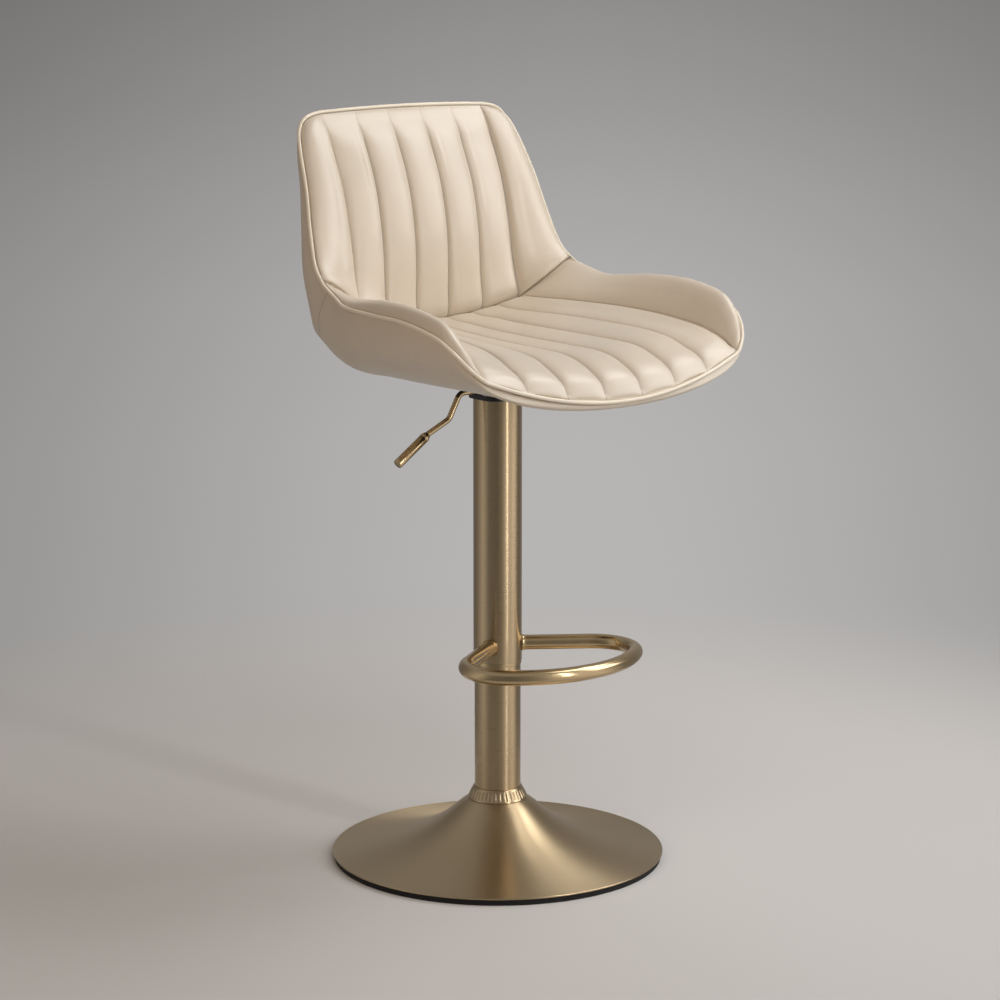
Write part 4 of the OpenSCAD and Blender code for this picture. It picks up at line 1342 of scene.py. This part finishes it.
class STOOL_OT_column(Operator):
    """Column: the fixed lower tube, the sliding sleeve and its guide ring"""

    bl_idname = "stool.column"
    bl_label = "Column"

    # The lower tube's wall, and the gaps round it inside the sleeve and the guide ring
    wall, slide, ring_fit = 1.5, 0.3, 0.05

    def execute(self, context):
        steps = context.scene.stool_sizes.round_steps
        r = radius_of("lower_column")
        # Piece, node, body, inner radius, radius of its edges, finish and slot
        for name, node, body, inner_r, edge, finish, slot in (
            ("lower_tube", "lower_column", "base", r - self.wall, 0.5, "tube", "brushed_brass"),
            ("sliding_sleeve", "sleeve", "upper", r + self.slide, 0.5, "tube", "brushed_brass"),
            ("guide_ring", "sleeve_guide_ring", "upper", r + self.ring_fit, 0.3, "polished",
             "polished_brass"),
        ):
            low, high, outer_r = foot_of(node), top_of(node), radius_of(node)
            levels = np.linspace(low, high, 12 if high - low > 50 else 2)
            wall = np.column_stack([np.full(len(levels), outer_r), levels])
            box = rounded([[inner_r, high], [inner_r, low], [outer_r, low], [outer_r, high]], edge)
            profile = np.concatenate([box[:-CORNER_POINTS], wall[1:-1], box[-CORNER_POINTS:]])
            dress(mesh_piece(name, *lathe(profile, steps)), finish, body, node)
        return {"FINISHED"}


# -------------------------------------------------------- footrest and lever


def arc(centre, radius, start, end, count):
    """Points along an arc between two angles in degrees."""
    a = np.radians(np.linspace(start, end, count))
    return np.stack([centre[0] + radius * np.cos(a), centre[1] + radius * np.sin(a)], 1)


class STOOL_OT_footrest(Operator):
    """Footrest: a bent hoop whose two ends are welded to the sleeve"""

    bl_idname = "stool.footrest"
    bl_label = "Footrest hoop"

    # Degrees that an arm turns from straight ahead, and the radii of its bend and the bow
    arm_turn, bend_r, bow_r = 56, 50.0, 145.0
    weld_h, weld_w = 1.6, 2.2
    sides, spacing = 36, 2.4

    def execute(self, context):
        lo, hi = (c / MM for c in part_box("footrest_hoop"))
        tube_r, z = (hi.z - lo.z) / 2, (hi.z + lo.z) / 2
        bend_r, bow_r = self.bend_r, self.bow_r
        bow_y = bow_r - (-lo.y - tube_r)
        c, s = math.cos(math.radians(self.arm_turn)), math.sin(math.radians(self.arm_turn))
        # An arm is as long as it has to be for its bend to run smoothly into the bow
        b = 2 * c * bow_y
        q = bend_r**2 + bow_y**2 + 2 * bend_r * s * bow_y - (bow_r - bend_r) ** 2
        arm = (-b + math.sqrt(b * b - 4 * q)) / 2
        bend = (arm * s - bend_r * c, -arm * c - bend_r * s)
        meet = math.degrees(math.atan2(bend[1] - bow_y, bend[0]))
        weld = np.array([s, -c]) * (radius_of("sleeve") - 1)
        half = np.concatenate(
            [
                np.linspace(weld, [arm * s, -arm * c], 16)[:-1],
                arc(bend, bend_r, self.arm_turn, meet, 30)[:-1],
                arc((0, bow_y), bow_r, meet, -90, 22),
            ]
        )
        path = np.concatenate([half, (half * [-1, 1])[-2::-1]])
        path = even_path(np.column_stack([path, np.full(len(path), z)]), self.spacing)
        run = path_lengths(path)
        radii = tube_r + self.weld_h * peak(np.minimum(run, run[-1] - run), self.weld_w)
        hoop = mesh_piece("footrest_hoop_bar", *swept_tube(path, radii, self.sides))
        dress(hoop, "polished", "upper", "footrest_hoop")
        return {"FINISHED"}


class STOOL_OT_lever(Operator):
    """Lever: a bent rod with a turned grip"""

    bl_idname = "stool.lever"
    bl_label = "Height lever"

    tip_turn, bend_r, inside_grip = -35, 12, 12

    def execute(self, context):
        pivot = next(j for j in frame["joints"] if j["name"] == "lever_tilt")
        out, z = -pivot["pos_m"][0] / MM, pivot["pos_m"][2] / MM
        rod_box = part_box("lever_rod")
        rod_r = (rod_box[1].y - rod_box[0].y) / MM / 2
        tip = math.radians(self.tip_turn)
        way = np.array([math.cos(tip), math.sin(tip)])
        # Out of the hub, down at the first corner, and slanting at the knee to the grip
        hub, knee = np.array([out + 4.5, z]), np.array([72, z - 29.4])
        foot = knee + [30, -14]
        corners = [hub, np.array([56.0, z]), knee, foot, foot + self.inside_grip * way]
        line = [hub]
        for before, corner, after in zip(corners, corners[1:], corners[2:]):
            a, b = unit(corner - before), unit(after - corner)
            turn = math.acos(float(np.clip(a @ b, -1, 1)))
            cut = self.bend_r * math.tan(turn / 2)
            shares = np.linspace(0, 1, 9)
            line.extend(curve(corner - a * cut, corner, corner + b * cut, t) for t in shares)
        line.append(corners[-1])
        line = even_path(np.array(line), 1.2)
        path = np.column_stack([-line[:, 0], np.zeros(len(line)), line[:, 1]])
        rod = mesh_piece("lever_bent_rod", *swept_tube(path, rod_r, 24, up=(0, 1, 0)))
        dress(rod, "polished", "lever", "lever_rod")
        self.grip(foot, way, rod_r)
        return {"FINISHED"}

    def grip(self, foot, way, rod_r):
        """A turned sleeve pressed over the rod's end, with a fine groove near its foot."""
        # Radius, and distance along the rod from the grip's foot
        profile = np.array(
            [
                (rod_r + 0.05, 2.0), (rod_r + 0.6, 2.0), (rod_r + 0.9, 2.3), (5.3, 5.2), (5.6, 5.7),
                (5.75, 6.4), (5.75, 8.6), (5.45, 8.8), (5.45, 9.2), (5.75, 9.4), (5.75, 53.6),
                (5.6, 54.3), (5.2, 54.8), (4.5, 55.0), (1.2, 55.0),
            ]
        )  # fmt: skip
        sides = 32
        w = turns(sides)
        r, along = profile[:, :1], profile[:, 1:]
        normal = np.array([-way[1], way[0]])
        flat = (foot + along * way)[:, None] + (r * np.cos(w))[..., None] * normal
        rings = np.stack([-flat[..., 0], r * np.sin(w), flat[..., 1]], -1)
        faces = capped_tube_faces(len(profile), sides)
        grip = mesh_piece("lever_turned_grip", rings.reshape(-1, 3), faces)
        dress(grip, "polished", "lever", "lever_grip")


class STOOL_OT_hardware(Operator):
    """Hardware: finishes for the CAD nodes that stay as they are"""

    bl_idname = "stool.hardware"
    bl_label = "Hardware finishes"

    by_finish = {
        "rubber": ("floor_ring", "centre_foot"),
        "powder": ("seat_plate", "gas_cylinder"),
        "nylon": ("column_bush", "rod_guide", "piston", "valve_button"),
        "plywood": ("seat_shell",),
        "steel": (
            "base_plate", "column_flange", "foot_bolts", "bearing_seat", "race_lower",
            "bearing_balls", "race_upper", "rod_washer", "rod_clip", "piston_rod",
            "sleeve_collar", "lever_bracket", "lever_pin", "lever_hub", "seat_bolts",
            "seat_inserts",
        ),
    }  # fmt: skip

    def execute(self, context):
        for finish, nodes in self.by_finish.items():
            for name in nodes:
                node = frame["nodes"][name]
                for slot in node.material_slots:
                    slot.link = "OBJECT"
                    slot.material = finishes[finish]
        return {"FINISHED"}


# -------------------------------------------------------------------- stage

AZIMUTH, PITCH = math.radians(-37.908), math.radians(11.208)
CAMERA_DISTANCE, CAMERA_HEIGHT = 3.69, 1.1693
# The room is laid out along the view of the stool at rest, and stays put in other views
FRONT = (math.sin(AZIMUTH), -math.cos(AZIMUTH), 0.0)
RIGHT = (math.cos(AZIMUTH), math.sin(AZIMUTH), 0.0)
UP = (0.0, 0.0, 1.0)
ROOM_LIGHT = 0.25
LAMP_AIM = Vector((0, 0, 0.6))
# Name, bearing, distance, height, width and height of the face, watts, seen by metal, colour
LAMPS = (
    ("key_strip", -82, 1.9, 1.0, 0.14, 1.6, 7.0, True, "#ffffff"),
    ("side_box", -38, 1.8, 1.3, 1.0, 1.0, 11.0, True, "#ffffff"),
    ("high_box", -24, 1.3, 2.4, 1.3, 1.3, 22.0, True, "#ffffff"),
    ("front_box", -110, 1.6, 2.7, 1.4, 1.4, 11.0, False, "#ffffff"),
    ("left_box", -168, 2.6, 1.3, 1.8, 1.6, 12.0, False, "#ffe2c4"),
    ("rear_box", 60, 2.2, 2.4, 1.6, 1.6, 14.0, False, "#ffffff"),
)
# Tones of the studio as the metal sees them, from behind the stool past its left side,
# its front and its right side: the side boxes, and the dark in front of the stool
ROOM = (
    (0.0, 0.35), (0.1, 0.17), (0.19, 0.24), (0.3, 0.6), (0.385, 0.2), (0.5, 0.16),
    (0.56, 0.3), (0.6, 0.65), (0.72, 0.85), (0.8, 0.2), (0.87, 0.22), (1.0, 0.35),
)  # fmt: skip
OVERHEAD = 0.38
# The floor's painted light falls with its distance from the stool: far out, the floor glows with it in
# place of lamp light.
# The steps, far to near, go by how steeply the view at rest looks down on floor that far behind the
# stool
FLOOR_PAINTED_LIGHT = ((0.02, 0.24), (0.07, 0.32), (0.10, 0.38), (0.133, 0.43), (0.18, 0.46), (0.25, 0.47))
# Painted falloff of the lamps to the sides: the slope to the side where it is brightest, how far from
# there it is dimmest, and by how much it dims there, with the part of that which the lit floor near
# the stool takes in its colour
FLOOR_MIDDLE, FLOOR_SIDE, FLOOR_DIM, FLOOR_NEAR_DIM = 0.025, 0.26, 0.42, 0.4
# Metres from the stool between which the lit floor gives way to its painted glow, and
# beyond which metal sees the floor glow with the room instead of it
FLOOR_LIT, FLOOR_GLOWING, FLOOR_MIRRORED, FLOOR_RADIUS = 0.7, 1.6, 0.45, 60.0


def tinted(steps, colour):
    """Stops of a colour ramp: each the colour at that grey level."""
    level = 0.2126 * colour[0] + 0.7152 * colour[1] + 0.0722 * colour[2]
    return [(at, rgba(colour, tone / level)) for at, tone in steps]


def room_tone(tree, place):
    """What stands round the stool, from behind it past the left, the front and the right."""
    right, front = (
        add(
            tree, "ShaderNodeVectorMath", {0: place, 1: way}, operation="DOT_PRODUCT"
        ).outputs["Value"]
        for way in (RIGHT, FRONT)
    )
    turn = add(tree, "ShaderNodeMath", {0: right, 1: front}, operation="ARCTAN2").outputs[0]
    share = add(
        tree, "ShaderNodeMath", {0: turn, 1: 2 * math.pi}, operation="DIVIDE"
    ).outputs[0]
    share = add(tree, "ShaderNodeMath", {0: share, 1: 0.5}, operation="ADD").outputs[0]
    stops = tinted(ROOM, linear("#c9c5c2"))
    return add(tree, "ShaderNodeValToRGB", {"Fac": share}, stops).outputs["Color"]


def sky_tone(tree, place):
    """The same studio for rays that leave upwards: it evens out overhead."""
    height = add(
        tree, "ShaderNodeVectorMath", {0: place, 1: UP}, operation="DOT_PRODUCT"
    ).outputs["Value"]
    up = add(
        tree,
        "ShaderNodeMapRange",
        {"Value": height, "From Min": 0.35, "From Max": 0.8},
        interpolation_type="SMOOTHSTEP",
    ).outputs[0]
    return add(
        tree,
        "ShaderNodeMixRGB",
        {"Fac": up, "Color1": room_tone(tree, place), "Color2": (OVERHEAD,) * 3 + (1.0,)},
    ).outputs["Color"]


class STOOL_OT_stage(Operator):
    """Stage: a plain pale floor, soft studio lamps and the camera"""

    bl_idname = "stool.stage"
    bl_label = "Stage"

    def execute(self, context):
        self.floor(context)
        self.lamps()
        self.world()
        self.camera()
        return {"FINISHED"}

    def floor(self, context):
        """A wide paper floor: lit near the stool, and further out a painted glow that fades with
        distance; both are painted darker to the sides.
        """
        colour = context.scene.stool_colours.floor
        material, tree, place = start_material("studio_floor_paper")
        out = add(tree, "ShaderNodeVectorMath", {0: place}, operation="LENGTH").outputs["Value"]
        depth = add(
            tree, "ShaderNodeMath", {0: out, 1: CAMERA_DISTANCE}, operation="ADD"
        ).outputs[0]
        slope = add(
            tree, "ShaderNodeMath", {0: CAMERA_HEIGHT, 1: depth}, operation="DIVIDE"
        ).outputs[0]
        right = add(
            tree, "ShaderNodeVectorMath", {0: place, 1: RIGHT}, operation="DOT_PRODUCT"
        ).outputs["Value"]
        side = add(tree, "ShaderNodeMath", {0: right, 1: depth}, operation="DIVIDE").outputs[0]
        off = add(
            tree, "ShaderNodeMath", {0: side, 1: FLOOR_MIDDLE}, operation="SUBTRACT"
        ).outputs[0]
        off = add(tree, "ShaderNodeMath", {0: off}, operation="ABSOLUTE").outputs[0]
        # Painted light falloff to the sides, in the glow and in the lit floor's colour
        dim = add(
            tree,
            "ShaderNodeMapRange",
            {"Value": off, "From Min": 0.0, "From Max": FLOOR_SIDE, "To Max": FLOOR_DIM},
            interpolation_type="SMOOTHSTEP",
        ).outputs[0]
        near_dim = add(
            tree, "ShaderNodeMath", {0: dim, 1: FLOOR_NEAR_DIM}, operation="MULTIPLY"
        ).outputs[0]
        bright, near_bright = (
            add(tree, "ShaderNodeMath", {0: 1.0, 1: loss}, operation="SUBTRACT").outputs[0]
            for loss in (dim, near_dim)
        )
        stops = tinted(FLOOR_PAINTED_LIGHT, colour)
        tones = add(tree, "ShaderNodeValToRGB", {"Fac": slope}, stops).outputs["Color"]
        tone, paper = (
            add(
                tree, "ShaderNodeVectorMath", {0: base, "Scale": share}, operation="SCALE"
            ).outputs[0]
            for base, share in ((tones, bright), (rgba(colour)[:3], near_bright))
        )
        # Painted light: far from the stool the floor glows, though it is no lamp
        glow = add(tree, "ShaderNodeEmission", {"Color": tone, "Strength": 1.0}).outputs[0]
        lit = add(tree, "ShaderNodeBsdfDiffuse", {"Color": paper, "Roughness": 0.5}).outputs[0]
        far = add(
            tree,
            "ShaderNodeMapRange",
            {"Value": out, "From Min": FLOOR_LIT, "From Max": FLOOR_GLOWING},
            interpolation_type="SMOOTHSTEP",
        ).outputs[0]
        beyond = add(
            tree, "ShaderNodeMath", {0: out, 1: FLOOR_MIRRORED}, operation="GREATER_THAN"
        ).outputs[0]
        path = add(tree, "ShaderNodeLightPath").outputs
        seen, mirrored = (
            add(tree, "ShaderNodeMath", {0: ray, 1: where}, operation="MULTIPLY").outputs[0]
            for ray, where in ((path["Is Camera Ray"], far), (path["Is Glossy Ray"], beyond))
        )
        # Painted reflection: for metal, the floor further out glows with the room's ramp
        room = add(tree, "ShaderNodeEmission", {"Color": room_tone(tree, place), "Strength": 1.0})
        shown = add(tree, "ShaderNodeMixShader", {0: seen, 1: lit, 2: glow}).outputs[0]
        both = add(tree, "ShaderNodeMixShader", {0: mirrored, 1: shown, 2: room.outputs[0]})
        add(tree, "ShaderNodeOutputMaterial", {"Surface": both.outputs[0]})
        mesh = bpy.data.meshes.new("studio_floor")
        builder = bmesh.new()
        bmesh.ops.create_circle(builder, cap_ends=True, segments=96, radius=FLOOR_RADIUS)
        builder.to_mesh(mesh)
        builder.free()
        floor = bpy.data.objects.new("studio_floor", mesh)
        bpy.context.scene.collection.objects.link(floor)
        mesh.materials.append(material)

    def lamps(self):
        """Soft boxes and a strip round the stool; metal mirrors only some of them."""
        for name, angle, distance, height, size_x, size_y, power, mirrored, colour in LAMPS:
            data = bpy.data.lights.new(name, "AREA")
            data.shape = "RECTANGLE"
            data.size, data.size_y = size_x, size_y
            data.energy = power
            data.color = linear(colour)
            lamp = bpy.data.objects.new(name, data)
            a = math.radians(angle)
            lamp.location = (distance * math.cos(a), distance * math.sin(a), height)
            lamp.rotation_euler = (LAMP_AIM - lamp.location).to_track_quat("-Z", "Y").to_euler()
            lamp.visible_camera = False
            lamp.visible_glossy = mirrored
            bpy.context.scene.collection.objects.link(lamp)

    def world(self):
        """Even room light; metal sees the dark and pale parts of the studio instead."""
        world = bpy.data.worlds.new("studio_room")
        world.use_nodes = True
        tree = world.node_tree
        tree.nodes.clear()
        place = add(tree, "ShaderNodeTexCoord").outputs["Generated"]
        even = rgba(linear("#cdc3b6"))
        room, seen = (
            add(tree, "ShaderNodeBackground", {"Color": tone, "Strength": light}).outputs[0]
            for tone, light in ((even, ROOM_LIGHT), (sky_tone(tree, place), 1.0))
        )
        path = add(tree, "ShaderNodeLightPath").outputs
        shown = path["Is Camera Ray"]
        for ray in (path["Is Glossy Ray"], path["Is Transmission Ray"]):
            shown = add(
                tree, "ShaderNodeMath", {0: shown, 1: ray}, operation="MAXIMUM"
            ).outputs[0]
        mixed = add(tree, "ShaderNodeMixShader", {0: shown, 1: room, 2: seen})
        add(tree, "ShaderNodeOutputWorld", {"Surface": mixed.outputs[0]})
        bpy.context.scene.world = world

    def camera(self):
        """A long lens from the front and the lever's side, higher than the stool."""
        data = bpy.data.cameras.new("camera")
        data.lens = 114.0
        data.sensor_width = 36.0
        data.shift_x = 0.0024
        data.clip_end = 200
        camera = bpy.data.objects.new("camera", data)
        camera.location = (
            FRONT[0] * CAMERA_DISTANCE,
            FRONT[1] * CAMERA_DISTANCE,
            CAMERA_HEIGHT,
        )
        camera.rotation_euler = (math.pi / 2 - PITCH, 0, AZIMUTH)
        bpy.context.scene.collection.objects.link(camera)
        bpy.context.scene.camera = camera


# ------------------------------------------------------------ panel and main


class STOOL_PT_panel(Panel):
    """Lists the stool's sizes, colours and pieces"""

    bl_idname = "STOOL_PT_panel"
    bl_label = "Bar stool"
    bl_space_type = "VIEW_3D"
    bl_region_type = "UI"
    bl_category = "Stool"

    def draw(self, context):
        for group in (context.scene.stool_sizes, context.scene.stool_colours):
            box = self.layout.box()
            for key in group.bl_rna.properties.keys():
                if key not in {"rna_type", "name"}:
                    box.prop(group, key)
        for operator in OPERATORS:
            self.layout.operator(operator.bl_idname)


OPERATORS = (
    STOOL_OT_stage,
    STOOL_OT_base,
    STOOL_OT_column,
    STOOL_OT_footrest,
    STOOL_OT_lever,
    STOOL_OT_hardware,
    STOOL_OT_outer_cover,
    STOOL_OT_back_pad,
    STOOL_OT_seat_pad,
    STOOL_OT_wing_pads,
    STOOL_OT_piping,
)
CLASSES = (StoolColours, StoolSizes, *OPERATORS, STOOL_PT_panel)


def register():
    for one in CLASSES:
        bpy.utils.register_class(one)
    bpy.types.Scene.stool_sizes = PointerProperty(type=StoolSizes)
    bpy.types.Scene.stool_colours = PointerProperty(type=StoolColours)


def unregister():
    del bpy.types.Scene.stool_colours
    del bpy.types.Scene.stool_sizes
    for one in reversed(CLASSES):
        bpy.utils.unregister_class(one)


def main():
    register()
    make_finishes()
    for operator in OPERATORS:
        group, name = operator.bl_idname.split(".")
        getattr(getattr(bpy.ops, group), name)()
    bpy.context.scene.view_settings.view_transform = "Standard"


if __name__ == "__main__":
    main()
